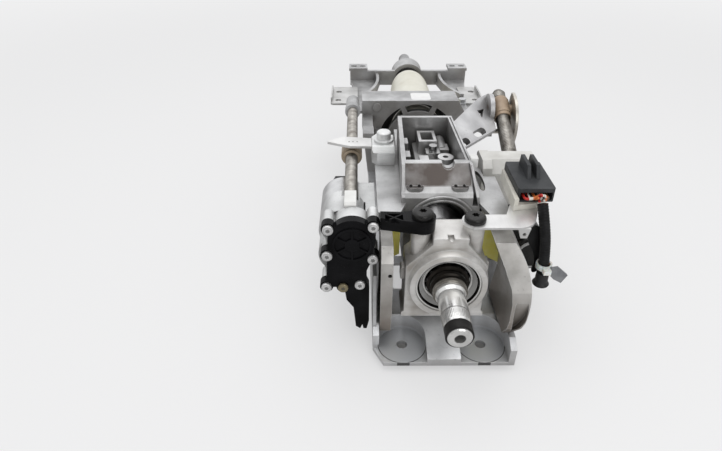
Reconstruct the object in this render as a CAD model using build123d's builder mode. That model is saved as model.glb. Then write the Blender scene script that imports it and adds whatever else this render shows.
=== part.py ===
"""Electrically adjusted steering column for a car, with its lock pocket open, in mm.

X points to the right, Y away from the driver and Z up. The origin lies midway between the two
front console bolts, on the surface that the column stands on when it is off the car.
"""
import os
from math import cos, radians, sin, tan

from build123d import *

# Column axis, tilt pivot and bend of the universal joint
AXIS_Z = 80.0
PIVOT_Y = 244.0
OUTPUT_RISE = 7.0
RUNNING = 0.06
SEAT = 0.05

# Console tray
SPACER_HEIGHT = 6.0
SPACER_RADIUS = 10.0
BOLT_SPACING = 70.0
BOLT_RADIUS = 4.75
REAR_BOLT_Y = 297.0
PLATE = 4.0
BASE_HALF = 61.0
BASE_FRONT = -21.0
BASE_BACK = 252.0
CORNER_CUT = 9.0
DECK_FRONT_Z = 14.0
DECK_Z = 27.0
DECK_SLOPE_END = 21.0
DECK_END = 60.0
POCKET_RADIUS = 20.5
SIDE_WALL = 5.5
SIDE_WALL_Z = 30.0
SHEET_WALL = 3.0
SHEET_WALL_Z = 78.0
RAIL_Z = 50.0
RAIL_FLANGE = 9.0
TRAY_WINDOW = (34.0, 44.0)
TRAY_WINDOW_STEP = 56.0

# Guide cheeks beside the steering head
CHEEK_TOP = 110.0
CHEEK_BACK = 50.0
CHEEK_FOOT = 5.0
LEFT_CHEEK = 10.0
CHEEK_SIDE_GAP = 0.5
CHEEK_STEP = 3.0
CHEEK_WEB = 5.0
RIGHT_CHEEK = 11.0
RIGHT_CHEEK_BULGE = 70.5
RECESS_DEPTH = 3.0

# Pivot frame and rear bracket
WALL_Y = 278.0
WALL = 7.0
WALL_TOP = 132.0
WALL_LEFT = -68.5
WALL_RIGHT = 48.0
TOP_PLATE_END = 312.0
HUB_RADIUS = 27.0
WINDOW_OUT = 48.0
WINDOW_IN = 39.0
FORK_GAP = 43.0
FORK_WALL = 9.0
FORK_RADIUS = 16.0
PIN_RADIUS = 6.0
LUG_FRONT = 203.0
LUG_TOP = 121.0
BEAM_X = 62.0
BEAM_Z = 104.0
BEAM = 6.0
BEAM_END = 345.0
BRACKET_Y = 437.0
BRACKET_WALL = 6.0
BRACKET_HALF = 85.0
BRACKET_TOP = 118.0
BRACKET_BOTTOM = 97.0
ARCH_RADIUS = 19.0
ARCH_RIM = 5.0
COLLAR_LENGTH = 26.0
COLLAR_WALL = 3.5
EAR_LENGTH = 22.0
SLOT_WIDTH = 5.0
SLOT_LENGTH = 9.0
FRAME_BOLT_RADIUS = 4.0
FRAME_BOLT_Y = 327.0
TAB_THICKNESS = 2.5
BOOT_START = 47.0
BOOT_WIDE = 30.5
BOOT_NARROW = 17.0
BOOT_WALL = 2.0
GAITER_MOUTH = 47.0
GAITER_END = 303.0
GAITER_WALL = 1.5
GAITER_GAP = 0.6

# Outer jacket with the lock pocket
JACKET_FRONT = 60.0
JACKET_BACK = 225.0
JACKET_HALF = 33.0
JACKET_BOTTOM = 46.0
JACKET_TOP = 118.0
TUBE_RADIUS = 24.0
TUBE_WALL = 3.0
TUBE_END = 183.0
MOUTH_HALF = 25.5
MOUTH_TOP = 122.0
MOUTH_DEPTH = 28.0
LINER_RADIUS = 26.0
LINER_LENGTH = 18.0
BEARING_WALL = 12.0
BOX_LEFT = -35.7
BOX_RIGHT = 25.7
BOX_FAR_LEFT = -32.5
BOX_FAR_RIGHT = 23.2
BOX_FRONT = 79.0
BOX_BACK = 184.0
BOX_TOP = 151.0
BOX_FLOOR = 108.0
BOX_WALL = 4.0
BOX_RIGHT_WALL = 4.6
MOUTH_RIB = 2.5
NOTCH_X = 5.0
NOTCH_RADIUS = 5.5
WING_Z = 121.0
WING = 3.5
LEFT_WING_OUT = 57.0
LEFT_WING_FRONT = 44.0
LEFT_WING_BACK = 166.0
RIGHT_WING_OUT = 56.0
RIGHT_WING_FRONT = 40.0
RIGHT_WING_BACK = 108.0
EAR_GAP = 0.5
EAR_WALL = 8.0
EAR_RADIUS = 14.0

# Steering lock
BOLT_Y = 140.0
BOLT_LONG = 9.0
BOLT_WIDE = 4.4
BOLT_THROW = 5.5
RING_RADIUS = 19.5
RING_FLOOR = 14.5
RING_LENGTH = 14.0
RING_SLOTS = 12
RING_SLOT = 5.0
LOCK_GAP = 0.4

# Steering head
HEAD_FRONT = 2.0
HEAD_BACK = 30.0
HEAD_LEFT = -35.0
HEAD_RIGHT = 31.0
HEAD_BOTTOM = 44.0
HEAD_CROWN = 124.0
RIM_RADIUS = 31.6
RIM_FRONT = -4.0
SEAT_RADIUS = 27.0
SEAT_DEPTH = 16.0
SCREW_Y = 15.0
RIGHT_SCREW_X = 18.5
LEFT_SCREW_X = -23.0
BOSS_RADIUS = 8.5
RIGHT_BOSS_TOP = 131.0
LEFT_BOSS_TOP = 126.0
SCREW_HEAD_RADIUS = 8.6
SCREW_HEAD = 5.0
SCREW_RADIUS = 3.0
SCREW_DEPTH = 16.0

# Steering shafts and bearings
SHAFT_TIP = -61.0
TIP_RADIUS = 9.3
SPLINE_RADIUS = 11.3
SPLINE_FRONT = -38.0
SPLINE_LENGTH = 20.0
SEAT_SHAFT_RADIUS = 12.5
THREAD_RADIUS = 4.25
THREAD_DEPTH = 22.0
BAND_FRONT = -59.0
BAND_LENGTH = 9.0
INNER_RING_RADIUS = 17.6
BALL_RADIUS = 2.6
BALL_CIRCLE = 19.0
BALL_COUNT = 12
BALL_Y = 7.0
RACE_BACK = 12.0
BUSH_Y = 88.0
BUSH_LENGTH = 11.0
MID_RADIUS = 9.0
MALE_END = 195.0
MALE_RADIUS = 7.5
MALE_FLAT = 5.75
LOWER_START = 131.0
LOWER_RADIUS = 11.0
LOWER_BORE_END = 226.0
NECK_RADIUS = 7.0
JOINT_BALL = 12.0
JOINT_PIN = 3.5
JOINT_PIN_REACH = 16.5
CUP_RADIUS = 18.0
CUP_FRONT = -11.0
CUP_BACK = 18.0
OUTPUT_RADIUS = 9.0
OUTPUT_END = 272.0

# Reach drive on the left of the head
COVER_Y = 11.0
COVER = 8.0
HOUSING_END = 34.0
DRIVE_SCREWS = ((-97.5, 127.0), (-61.7, 129.5), (-61.7, 98.0), (-72.3, 71.0), (-100.5, 68.5), (-99.0, 101.5))
PLUG = (-86.5, 68.0)
LOBE_RADIUS = 5.6
RELIEF = (-78.5, 112.0)
RELIEF_RADIUS = 19.0
REACH_X = -80.0
REACH_Z = 122.0
REACH_RADIUS = 6.0
REACH_JOURNAL = 3.8
REACH_START = 36.0
REACH_END = 268.0
CASE_X = -86.0
CASE_Z = 112.0
CASE_RADIUS = 18.5
CASE_END = 66.0
MOTOR_X = -88.0
MOTOR_Z = 86.0
MOTOR_RADIUS = 22.0
MOTOR_START = 67.0
SHOULDER_TOP = 118.0
SHOULDER_END = 102.0
MOTOR_END = 134.0
CAP_LENGTH = 12.0
BLOCK_WIDE = 10.0
BLOCK_TOP = 137.0
BLOCK_END = 57.0
TAIL_BOTTOM = 11.0
ARM_HEIGHT = 11.0
ARM_OUT = -56.05
ARM_RING = 10.5
NUT_Y = 157.0
NUT_RADIUS = 10.5
NUT_LENGTH = 16.0
CLAMP_FRONT = 132.0
CLAMP_BACK = 166.0
CLAMP_OUT = -60.0
CLAMP_TOP = 138.0
SLEEVE_RADIUS = 9.0
SLEEVE_LENGTH = 38.0

# Tilt drive on the right
NUT_X = 82.0
TILT_NUT_Z = 146.0
TILT_SLOPE = 25.0
TILT_RADIUS = 7.5
TILT_END_RADIUS = 5.0
TILT_CLEARANCE = 0.3
TILT_NUT_RADIUS = 9.5
TILT_NUT_HALF = 13.0
TRUNNION_RADIUS = 5.5
TINE_GAP = 21.0
TINE = 4.5
FORK_PLATE = 3.0
ARM_START = (30.0, 146.0)
ARM_END = (70.0, 190.0)
ARM_EDGE_Z = 139.5
ARM_SLOPE = 30.0
ARM_THICKNESS = 7.0
TILT_SPINDLE_BACK = 26.0
TILT_SPINDLE_FRONT = 84.0
TILT_MOTOR_X = 85.0
TILT_MOTOR_Z = 70.0
TILT_MOTOR_RADIUS = 17.0
TILT_MOTOR_START = 52.0
GEARBOX_FRONT = 116.0
GEARBOX_BACK = 148.0
GEARBOX_TOP = 131.0
GEARBOX_LEFT = 46.0
GEARBOX_RIGHT = 98.0

# Strap bracket, connector and harness on the head
STRAP = 2.0
HOLDER = 5.0
CONNECTOR_LEFT = 55.0
CONNECTOR_RIGHT = 85.0
CONNECTOR_FRONT = 34.0
CONNECTOR_BACK = 82.0
CONNECTOR_TOP = 150.0
FIN_TOP = 160.0
WIRE_RADIUS = 1.1
HARNESS_RADIUS = 4.4
HARNESS_ROUTE = [(72.5, 24.0, 142.0), (75.8, 16.5, 124.0), (79.0, 14.0, 104.0), (81.0, 12.5, 83.0)]
TIE_Z = 87.0
PLUG_LENGTH = 13.0

# Places worked out from the sizes above
PLATE_TOP = SPACER_HEIGHT + PLATE
LEFT_CHEEK_OUT = BASE_HALF - SIDE_WALL - CHEEK_SIDE_GAP
LEFT_CHEEK_IN = LEFT_CHEEK_OUT - LEFT_CHEEK
RIGHT_CHEEK_IN = BASE_HALF - RIGHT_CHEEK
SLEEVE_END = REACH_END + SLEEVE_LENGTH
BOLT_X = BOLT_SPACING / 2
MALE_CLEAR = MALE_RADIUS + RUNNING
TUBE_BORE = TUBE_RADIUS + RUNNING
TUBE_INSIDE = TUBE_RADIUS - TUBE_WALL
RING_FRONT = BOLT_Y - RING_LENGTH / 2
STRAP_Z = RIGHT_BOSS_TOP
HOLDER_Z = STRAP_Z + STRAP
CONNECTOR_Z = HOLDER_Z + HOLDER
LEFT_SCREW_SEAT = LEFT_BOSS_TOP + ARM_HEIGHT
TILT_NUT_Y = PIVOT_Y - (TILT_NUT_Z - AXIS_Z) * tan(radians(TILT_SLOPE))
TINE_X = NUT_X - TINE_GAP / 2 - TINE
ARCH_T = (BRACKET_Y + BRACKET_WALL / 2 - PIVOT_Y) / cos(radians(OUTPUT_RISE))
ARCH_Z = AXIS_Z + ARCH_T * sin(radians(OUTPUT_RISE))
PLATE_X = NUT_X + TINE_GAP / 2


def front(y):
    """Plane that the driver looks at: X to the right, Z up, extruded away by a negative amount."""
    return Plane(origin=(0, y, 0), x_dir=(1, 0, 0), z_dir=(0, -1, 0))


def side(x):
    """Plane seen from the right: local X runs along Y and local Y runs up."""
    return Plane(origin=(x, 0, 0), x_dir=(0, 1, 0), z_dir=(1, 0, 0))


def spin_axis(x, z):
    """Half-section plane of a piece turned about a line along Y."""
    return Plane(origin=(x, 0, z), x_dir=(0, 1, 0), z_dir=(1, 0, 0))


def turned(plane, outline):
    """Solid of revolution: outline gives (place along the axis, radius)."""
    with BuildPart() as piece:
        with BuildSketch(plane):
            with BuildLine():
                Polyline(outline, close=True)
            make_face()
        revolve(axis=Axis(plane.origin, plane.x_dir))
    return piece


def deck_height(y):
    """Height of the sloping front deck of the tray at a given Y."""
    rise = (DECK_Z - DECK_FRONT_Z) / (DECK_SLOPE_END - BASE_FRONT)
    return DECK_FRONT_Z + rise * (y - BASE_FRONT)


def box_left(y):
    """Outer face of the lock box's left wall at a given Y."""
    return BOX_LEFT + (BOX_FAR_LEFT - BOX_LEFT) * (y - BOX_FRONT) / (BOX_BACK - BOX_FRONT)


def box_right(y):
    """Outer face of the lock box's right wall at a given Y."""
    return BOX_RIGHT + (BOX_FAR_RIGHT - BOX_RIGHT) * (y - BOX_FRONT) / (BOX_BACK - BOX_FRONT)


def tube(plane, start, end, outer, inner):
    """Plain tube about the local X line of the plane."""
    return turned(plane, [(start, inner), (end, inner), (end, outer), (start, outer)])


def save(piece, name):
    """Label a finished piece and write it."""
    piece.part.label = name
    export_step(piece.part, f"parts/{name}.step")


os.makedirs("parts", exist_ok=True)
COLUMN = spin_axis(0, AXIS_Z)
OUTPUT = Plane(
    origin=(0, PIVOT_Y, AXIS_Z),
    x_dir=(0, cos(radians(OUTPUT_RISE)), sin(radians(OUTPUT_RISE))),
    z_dir=(1, 0, 0),
)
TILT = Plane(
    origin=(NUT_X, TILT_NUT_Y, TILT_NUT_Z),
    x_dir=(0, cos(radians(TILT_SLOPE)), sin(radians(TILT_SLOPE))),
    z_dir=(1, 0, 0),
)

# Console tray: a die-cast floor with two bolt pockets open to the front and a rail along each side
with BuildPart() as console_base:
    with BuildSketch(Plane.XY.offset(SPACER_HEIGHT)):
        with BuildLine():
            Polyline(
                (-BASE_HALF, BASE_FRONT + CORNER_CUT * 2),
                (-BASE_HALF + CORNER_CUT, BASE_FRONT),
                (BASE_HALF, BASE_FRONT),
                (BASE_HALF, BASE_BACK),
                (-BASE_HALF, BASE_BACK),
                close=True,
            )
        make_face()
    extrude(amount=PLATE)
    with BuildSketch(side(-BASE_HALF + SIDE_WALL)):
        with BuildLine():
            Polyline(
                (BASE_FRONT, PLATE_TOP),
                (BASE_FRONT, DECK_FRONT_Z),
                (DECK_SLOPE_END, DECK_Z),
                (DECK_END - PLATE, DECK_Z),
                (DECK_END, PLATE_TOP),
                close=True,
            )
        make_face()
    extrude(amount=2 * (BASE_HALF - SIDE_WALL))
    with BuildSketch(Plane.XY.offset(PLATE_TOP)):
        with Locations((-BOLT_X, 0), (BOLT_X, 0)):
            Circle(POCKET_RADIUS)
        with Locations((-BOLT_X, BASE_FRONT / 2 - 1), (BOLT_X, BASE_FRONT / 2 - 1)):
            Rectangle(2 * POCKET_RADIUS, -BASE_FRONT + 2)
    extrude(amount=DECK_Z, mode=Mode.SUBTRACT)
    for x in (-BASE_HALF, BASE_HALF - SIDE_WALL):
        front_end = BASE_FRONT + CORNER_CUT * 2 if x < 0 else BASE_FRONT
        with BuildSketch(side(x)):
            with BuildLine():
                Polyline(
                    (front_end, PLATE_TOP),
                    (front_end, DECK_FRONT_Z + 10),
                    (front_end + 10, SIDE_WALL_Z),
                    (DECK_SLOPE_END, SIDE_WALL_Z),
                    (DECK_END, SIDE_WALL_Z),
                    (DECK_END, PLATE_TOP),
                    close=True,
                )
            make_face()
        extrude(amount=SIDE_WALL)
    for x in (-BASE_HALF, BASE_HALF - SHEET_WALL):
        top = SHEET_WALL_Z if x < 0 else RAIL_Z
        start = DECK_SLOPE_END - 17 if x < 0 else CHEEK_BACK
        with BuildSketch(side(x)):
            with BuildLine():
                Polyline(
                    (start, PLATE_TOP),
                    (start, SIDE_WALL_Z),
                    (start + 9, top),
                    (DECK_END, top),
                    (DECK_END + 16, RAIL_Z),
                    (BASE_BACK, RAIL_Z),
                    (BASE_BACK, PLATE_TOP),
                    close=True,
                )
            make_face()
        extrude(amount=SHEET_WALL)
    for x in (-BASE_HALF + RAIL_FLANGE / 2, BASE_HALF - RAIL_FLANGE / 2):
        with BuildSketch(Plane.XY.offset(RAIL_Z)):
            with Locations((x, (DECK_END + 16 + BASE_BACK) / 2)):
                Rectangle(RAIL_FLANGE, BASE_BACK - DECK_END - 16)
        extrude(amount=-PLATE)
    with BuildSketch(Plane.XY.offset(SPACER_HEIGHT)):
        with Locations((0, DECK_END + 92)):
            with GridLocations(TRAY_WINDOW[0] + 10, TRAY_WINDOW_STEP, 2, 3):
                RectangleRounded(TRAY_WINDOW[0], TRAY_WINDOW[1], 6)
    extrude(amount=PLATE, mode=Mode.SUBTRACT)
    with BuildSketch(Plane.XY.offset(SPACER_HEIGHT)):
        with Locations((0, (DECK_SLOPE_END + 3 + DECK_END - 8) / 2)):
            with GridLocations(BASE_HALF - SIDE_WALL, 0, 2, 1):
                RectangleRounded(BASE_HALF - 2 * SIDE_WALL - 2, DECK_END - DECK_SLOPE_END - 11, 4)
    extrude(amount=DECK_Z - PLATE - SPACER_HEIGHT, mode=Mode.SUBTRACT)
    with BuildSketch(Plane.XY.offset(SPACER_HEIGHT)):
        with Locations((-BOLT_X, 0), (BOLT_X, 0)):
            Circle(BOLT_RADIUS)
    extrude(amount=PLATE, mode=Mode.SUBTRACT)
save(console_base, "console_base")

# Spacers: four turned sleeves that lift the castings off the mounting surface
with BuildPart() as mount_spacers:
    with BuildSketch(Plane.XY):
        with Locations((-BOLT_X, 0), (BOLT_X, 0), (-BOLT_X, REAR_BOLT_Y), (BOLT_X, REAR_BOLT_Y)):
            Circle(SPACER_RADIUS)
            Circle(BOLT_RADIUS, mode=Mode.SUBTRACT)
    extrude(amount=SPACER_HEIGHT)
    foot_edges = mount_spacers.faces().sort_by(Axis.Z)[0:4].edges().filter_by(GeomType.CIRCLE)
    chamfer(foot_edges.filter_by(lambda edge: edge.radius > BOLT_RADIUS + 1), 0.6)
save(mount_spacers, "mount_spacers")

# Left guide cheek: a casting with a broad front flange and a thin web behind it
with BuildPart() as cheek_left:
    with BuildSketch(side(-LEFT_CHEEK_OUT)):
        with BuildLine():
            Polyline(
                (CHEEK_FOOT, deck_height(CHEEK_FOOT)),
                (1, AXIS_Z - 20),
                (4, CHEEK_TOP - 12),
                (12, CHEEK_TOP),
                (LEFT_WING_FRONT - 3, CHEEK_TOP),
                (LEFT_WING_FRONT - 3, CHEEK_TOP - CHEEK_STEP),
                (CHEEK_BACK, CHEEK_TOP - CHEEK_STEP),
                (CHEEK_BACK, DECK_Z),
                (DECK_SLOPE_END, DECK_Z),
                close=True,
            )
        make_face()
    extrude(amount=LEFT_CHEEK_OUT - LEFT_CHEEK_IN)
    with BuildSketch(side(-LEFT_CHEEK_OUT)):
        with BuildLine():
            Polyline(
                (13, DECK_Z + 8),
                (10, AXIS_Z - 20),
                (14, CHEEK_TOP - 9),
                (CHEEK_BACK - 7, CHEEK_TOP - 9),
                (CHEEK_BACK - 7, DECK_Z + 8),
                close=True,
            )
        make_face()
    extrude(amount=LEFT_CHEEK_OUT - LEFT_CHEEK_IN - CHEEK_WEB, mode=Mode.SUBTRACT)
    with BuildSketch(front(0)):
        with Locations((-LEFT_CHEEK_IN - 2.5, AXIS_Z + 6)):
            Circle(1.8)
    extrude(amount=-14, mode=Mode.SUBTRACT)
save(cheek_left, "cheek_left")

# Right guide cheek: bulges outwards and carries a leaf-shaped recess low on its front
with BuildPart() as cheek_right:
    with BuildSketch(front(CHEEK_BACK)):
        with BuildLine():
            shoulder = (RIGHT_CHEEK_IN + 5, CHEEK_TOP)
            foot = (BASE_HALF - 4, SIDE_WALL_Z)
            ThreePointArc(shoulder, (RIGHT_CHEEK_BULGE - 1, AXIS_Z - 14), foot)
            Polyline(
                foot,
                (RIGHT_CHEEK_IN, SIDE_WALL_Z),
                (RIGHT_CHEEK_IN + 4, AXIS_Z - 18),
                (RIGHT_CHEEK_IN + 3, AXIS_Z - 6),
                (RIGHT_CHEEK_IN - 4, AXIS_Z + 12),
                (RIGHT_CHEEK_IN - 12, CHEEK_TOP),
                shoulder,
            )
        make_face()
    extrude(amount=CHEEK_BACK + 12)
    with BuildSketch(side(RIGHT_CHEEK_IN - 20)):
        with BuildLine():
            Polyline(
                (-13, SIDE_WALL_Z - 1),
                (-13, CHEEK_TOP + 1),
                (16, CHEEK_TOP + 1),
                (-3, AXIS_Z - 8),
                (-12, AXIS_Z - 32),
                (-12, SIDE_WALL_Z + 11),
                (-5, SIDE_WALL_Z - 1),
                close=True,
            )
        make_face()
        with Locations(((RIGHT_WING_FRONT - 3 + CHEEK_BACK + 1) / 2, CHEEK_TOP)):
            Rectangle(CHEEK_BACK + 1 - RIGHT_WING_FRONT + 3, 2 * CHEEK_STEP)
    extrude(amount=RIGHT_CHEEK_BULGE, mode=Mode.SUBTRACT)
    leaf_low = (RIGHT_CHEEK_IN + 6, SIDE_WALL_Z + 5)
    leaf_high = (RIGHT_CHEEK_IN + 12, AXIS_Z - 2)
    with BuildSketch(front(-12 + RECESS_DEPTH + 3)):
        with BuildLine():
            ThreePointArc(leaf_low, (RIGHT_CHEEK_IN + 17, AXIS_Z - 27), leaf_high)
            ThreePointArc(leaf_high, (RIGHT_CHEEK_IN + 6, AXIS_Z - 24), leaf_low)
        make_face()
    extrude(amount=20, mode=Mode.SUBTRACT)
save(cheek_right, "cheek_right")

# Pivot frame: the upright wall with its arc windows, the fork for the tilt pins and the rear beams
with BuildPart() as pivot_frame:
    with BuildSketch(front(WALL_Y)):
        with BuildLine():
            Polyline(
                (WALL_LEFT, BEAM_Z - 4),
                (WALL_LEFT, WALL_TOP),
                (WALL_RIGHT, WALL_TOP),
                (BASE_HALF, BEAM_Z + BEAM),
                (BASE_HALF, BEAM_Z - 4),
                (BASE_HALF - 7, SPACER_HEIGHT),
                (-BASE_HALF + 3, SPACER_HEIGHT),
                close=True,
            )
        make_face()
        with Locations((0, AXIS_Z)):
            Circle(HUB_RADIUS, mode=Mode.SUBTRACT)
    extrude(amount=-WALL)
    with BuildSketch(front(WALL_Y)):
        with Locations((0, AXIS_Z)):
            Circle(WINDOW_OUT)
            Circle(WINDOW_IN, mode=Mode.SUBTRACT)
            for turn in (0, 66, 114):
                Rectangle(2 * WINDOW_OUT + 2, 6, rotation=turn, mode=Mode.SUBTRACT)
        with Locations((0, AXIS_Z - WINDOW_OUT / 2 - 12)):
            Rectangle(2 * WINDOW_OUT + 4, WINDOW_OUT + 24, mode=Mode.SUBTRACT)
    extrude(amount=-WALL, mode=Mode.SUBTRACT)
    with BuildSketch(Plane.XY.offset(WALL_TOP)):
        with Locations(((WALL_LEFT + WALL_RIGHT) / 2, (WALL_Y + TOP_PLATE_END) / 2)):
            Rectangle(WALL_RIGHT - WALL_LEFT, TOP_PLATE_END - WALL_Y)
    extrude(amount=-PLATE)
    with BuildSketch(Plane.XY.offset(SPACER_HEIGHT)):
        with Locations((0, (BASE_BACK + TOP_PLATE_END) / 2 + 0.1)):
            Rectangle(2 * (BASE_HALF - 7), TOP_PLATE_END - BASE_BACK - 0.2)
        with Locations((-BOLT_X, REAR_BOLT_Y), (BOLT_X, REAR_BOLT_Y)):
            Circle(BOLT_RADIUS, mode=Mode.SUBTRACT)
    extrude(amount=PLATE)
    for x in (-FORK_GAP - FORK_WALL, FORK_GAP):
        with BuildSketch(side(x)):
            with Locations((PIVOT_Y, AXIS_Z)):
                Circle(FORK_RADIUS)
            with Locations(((PIVOT_Y + WALL_Y) / 2, AXIS_Z)):
                Rectangle(WALL_Y - PIVOT_Y, 2 * FORK_RADIUS)
            with Locations((PIVOT_Y, AXIS_Z)):
                Circle(PIN_RADIUS, mode=Mode.SUBTRACT)
        extrude(amount=FORK_WALL)
    for x in (-BEAM_X, BEAM_X):
        with BuildSketch(Plane.XY.offset(BEAM_Z)):
            with Locations((x * 0.97, (WALL_Y + WALL + BEAM_END) / 2)):
                Rectangle(13, BEAM_END - WALL_Y - WALL)
            with Locations((x, FRAME_BOLT_Y)):
                Circle(FRAME_BOLT_RADIUS, mode=Mode.SUBTRACT)
        extrude(amount=BEAM)
    with BuildSketch(side(-BEAM_X - 6)):
        with BuildLine():
            Polyline(
                (WALL_Y, BEAM_Z),
                (LUG_FRONT + 4, BEAM_Z),
                (LUG_FRONT, BEAM_Z + 4),
                (LUG_FRONT + 5, LUG_TOP),
                (LUG_FRONT + 24, LUG_TOP),
                (LUG_FRONT + 32, BEAM_Z + 10),
                (WALL_Y, BEAM_Z + 10),
                close=True,
            )
        make_face()
    extrude(amount=12)
    with BuildSketch(front(WALL_Y)):
        with Locations((WALL_LEFT + 18, WALL_TOP - 8)):
            Circle(5)
    extrude(amount=1.5)
save(pivot_frame, "pivot_frame")

# Tilt pins: pressed into the fork, running in the jacket's ears
with BuildPart() as pivot_pins:
    for x in (-FORK_GAP - FORK_WALL, FORK_GAP - EAR_GAP - EAR_WALL - 1):
        with BuildSketch(side(x)):
            with Locations((PIVOT_Y, AXIS_Z)):
                Circle(PIN_RADIUS - SEAT / 2)
        extrude(amount=FORK_WALL + EAR_GAP + EAR_WALL + 1)
save(pivot_pins, "pivot_pins")

# Rear bracket: a cross wall with slotted ears, an arch over the boot and two ribbed wings
with BuildPart() as rear_bracket:
    with BuildSketch(front(BRACKET_Y)):
        with Locations((0, (BRACKET_TOP + BRACKET_BOTTOM) / 2)):
            Rectangle(2 * BRACKET_HALF, BRACKET_TOP - BRACKET_BOTTOM)
        with Locations((0, ARCH_Z)):
            Circle(ARCH_RADIUS + ARCH_RIM)
    extrude(amount=-BRACKET_WALL)
    with BuildSketch(OUTPUT):
        with Locations((ARCH_T + COLLAR_LENGTH / 2, (ARCH_RADIUS + COLLAR_WALL) / 2)):
            Rectangle(COLLAR_LENGTH, ARCH_RADIUS + COLLAR_WALL)
    revolve(axis=Axis(OUTPUT.origin, OUTPUT.x_dir))
    with BuildSketch(OUTPUT):
        with Locations((ARCH_T + COLLAR_LENGTH / 2, ARCH_RADIUS / 2)):
            Rectangle(2 * COLLAR_LENGTH, ARCH_RADIUS)
    revolve(axis=Axis(OUTPUT.origin, OUTPUT.x_dir), mode=Mode.SUBTRACT)
    for turn in (-1, 1):
        inner = (turn * 44, BRACKET_Y)
        tip = (turn * (BEAM_X + 5), FRAME_BOLT_Y + 10)
        with BuildSketch(Plane.XY.offset(BEAM_Z - PLATE)):
            with BuildLine():
                Polyline(
                    (turn * (BEAM_X - 8), FRAME_BOLT_Y - 10),
                    (turn * (BEAM_X + 14), FRAME_BOLT_Y - 10),
                    (turn * (BEAM_X + 16), FRAME_BOLT_Y + 70),
                    (turn * BRACKET_HALF, BRACKET_Y),
                    (turn * 40, BRACKET_Y),
                    (turn * 48, BRACKET_Y - 50),
                    close=True,
                )
            make_face()
            with Locations((turn * BEAM_X, FRAME_BOLT_Y)):
                Circle(FRAME_BOLT_RADIUS, mode=Mode.SUBTRACT)
        extrude(amount=PLATE)
        with BuildSketch(Plane.XY.offset(BEAM_Z)):
            with BuildLine():
                ThreePointArc(inner, (turn * 47, BRACKET_Y - 50), (turn * 63, BEAM_END + 3))
                Line((turn * 63, BEAM_END + 3), (turn * 68, BEAM_END + 3))
                ThreePointArc((turn * 68, BEAM_END + 3), (turn * 51, BRACKET_Y - 50), (turn * 48, BRACKET_Y))
                Line((turn * 48, BRACKET_Y), inner)
            make_face()
        extrude(amount=11)
        with BuildSketch(Plane.XY.offset(BRACKET_TOP)):
            with Locations((turn * (BRACKET_HALF - 12), BRACKET_Y + EAR_LENGTH / 2)):
                Rectangle(27, EAR_LENGTH)
                with Locations((-6.5, 0), (6.5, 0)):
                    SlotOverall(SLOT_LENGTH, SLOT_WIDTH, mode=Mode.SUBTRACT)
        extrude(amount=PLATE)
save(rear_bracket, "rear_bracket")

# Frame bolts: hexagon flange bolts that join the beams and the rear bracket
with BuildPart() as frame_bolts:
    with BuildSketch(Plane.XY.offset(BEAM_Z + BEAM)):
        with Locations((-BEAM_X, FRAME_BOLT_Y), (BEAM_X, FRAME_BOLT_Y)):
            Circle(6)
    extrude(amount=1.5)
    with BuildSketch(Plane.XY.offset(BEAM_Z + BEAM + 1.5)):
        with Locations((-BEAM_X, FRAME_BOLT_Y), (BEAM_X, FRAME_BOLT_Y)):
            RegularPolygon(5, 6)
    extrude(amount=5)
    with BuildSketch(Plane.XY.offset(BEAM_Z - PLATE)):
        with Locations((-BEAM_X, FRAME_BOLT_Y), (BEAM_X, FRAME_BOLT_Y)):
            Circle(FRAME_BOLT_RADIUS - SEAT)
    extrude(amount=BEAM + PLATE)
save(frame_bolts, "frame_bolts")

# Side tabs: zinc plates with two holes each, turned up at the outer end; the right one is shorter
with BuildPart() as side_tabs:
    for outer, inner, hole_x in ((-110, -74, -100), (93, 67, 84)):
        with BuildSketch(Plane.XY.offset(BEAM_Z)):
            with Locations(((outer + inner) / 2, FRAME_BOLT_Y + 42)):
                RectangleRounded(abs(outer - inner), 64, 4)
            with Locations((hole_x, FRAME_BOLT_Y + 22), (hole_x, FRAME_BOLT_Y + 54)):
                Circle(4, mode=Mode.SUBTRACT)
        extrude(amount=TAB_THICKNESS)
        with BuildSketch(Plane.XY.offset(BEAM_Z + TAB_THICKNESS)):
            with Locations((outer - (1 if outer > 0 else -1), FRAME_BOLT_Y + 42)):
                Rectangle(2, 48)
        extrude(amount=5)
save(side_tabs, "side_tabs")

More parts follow.
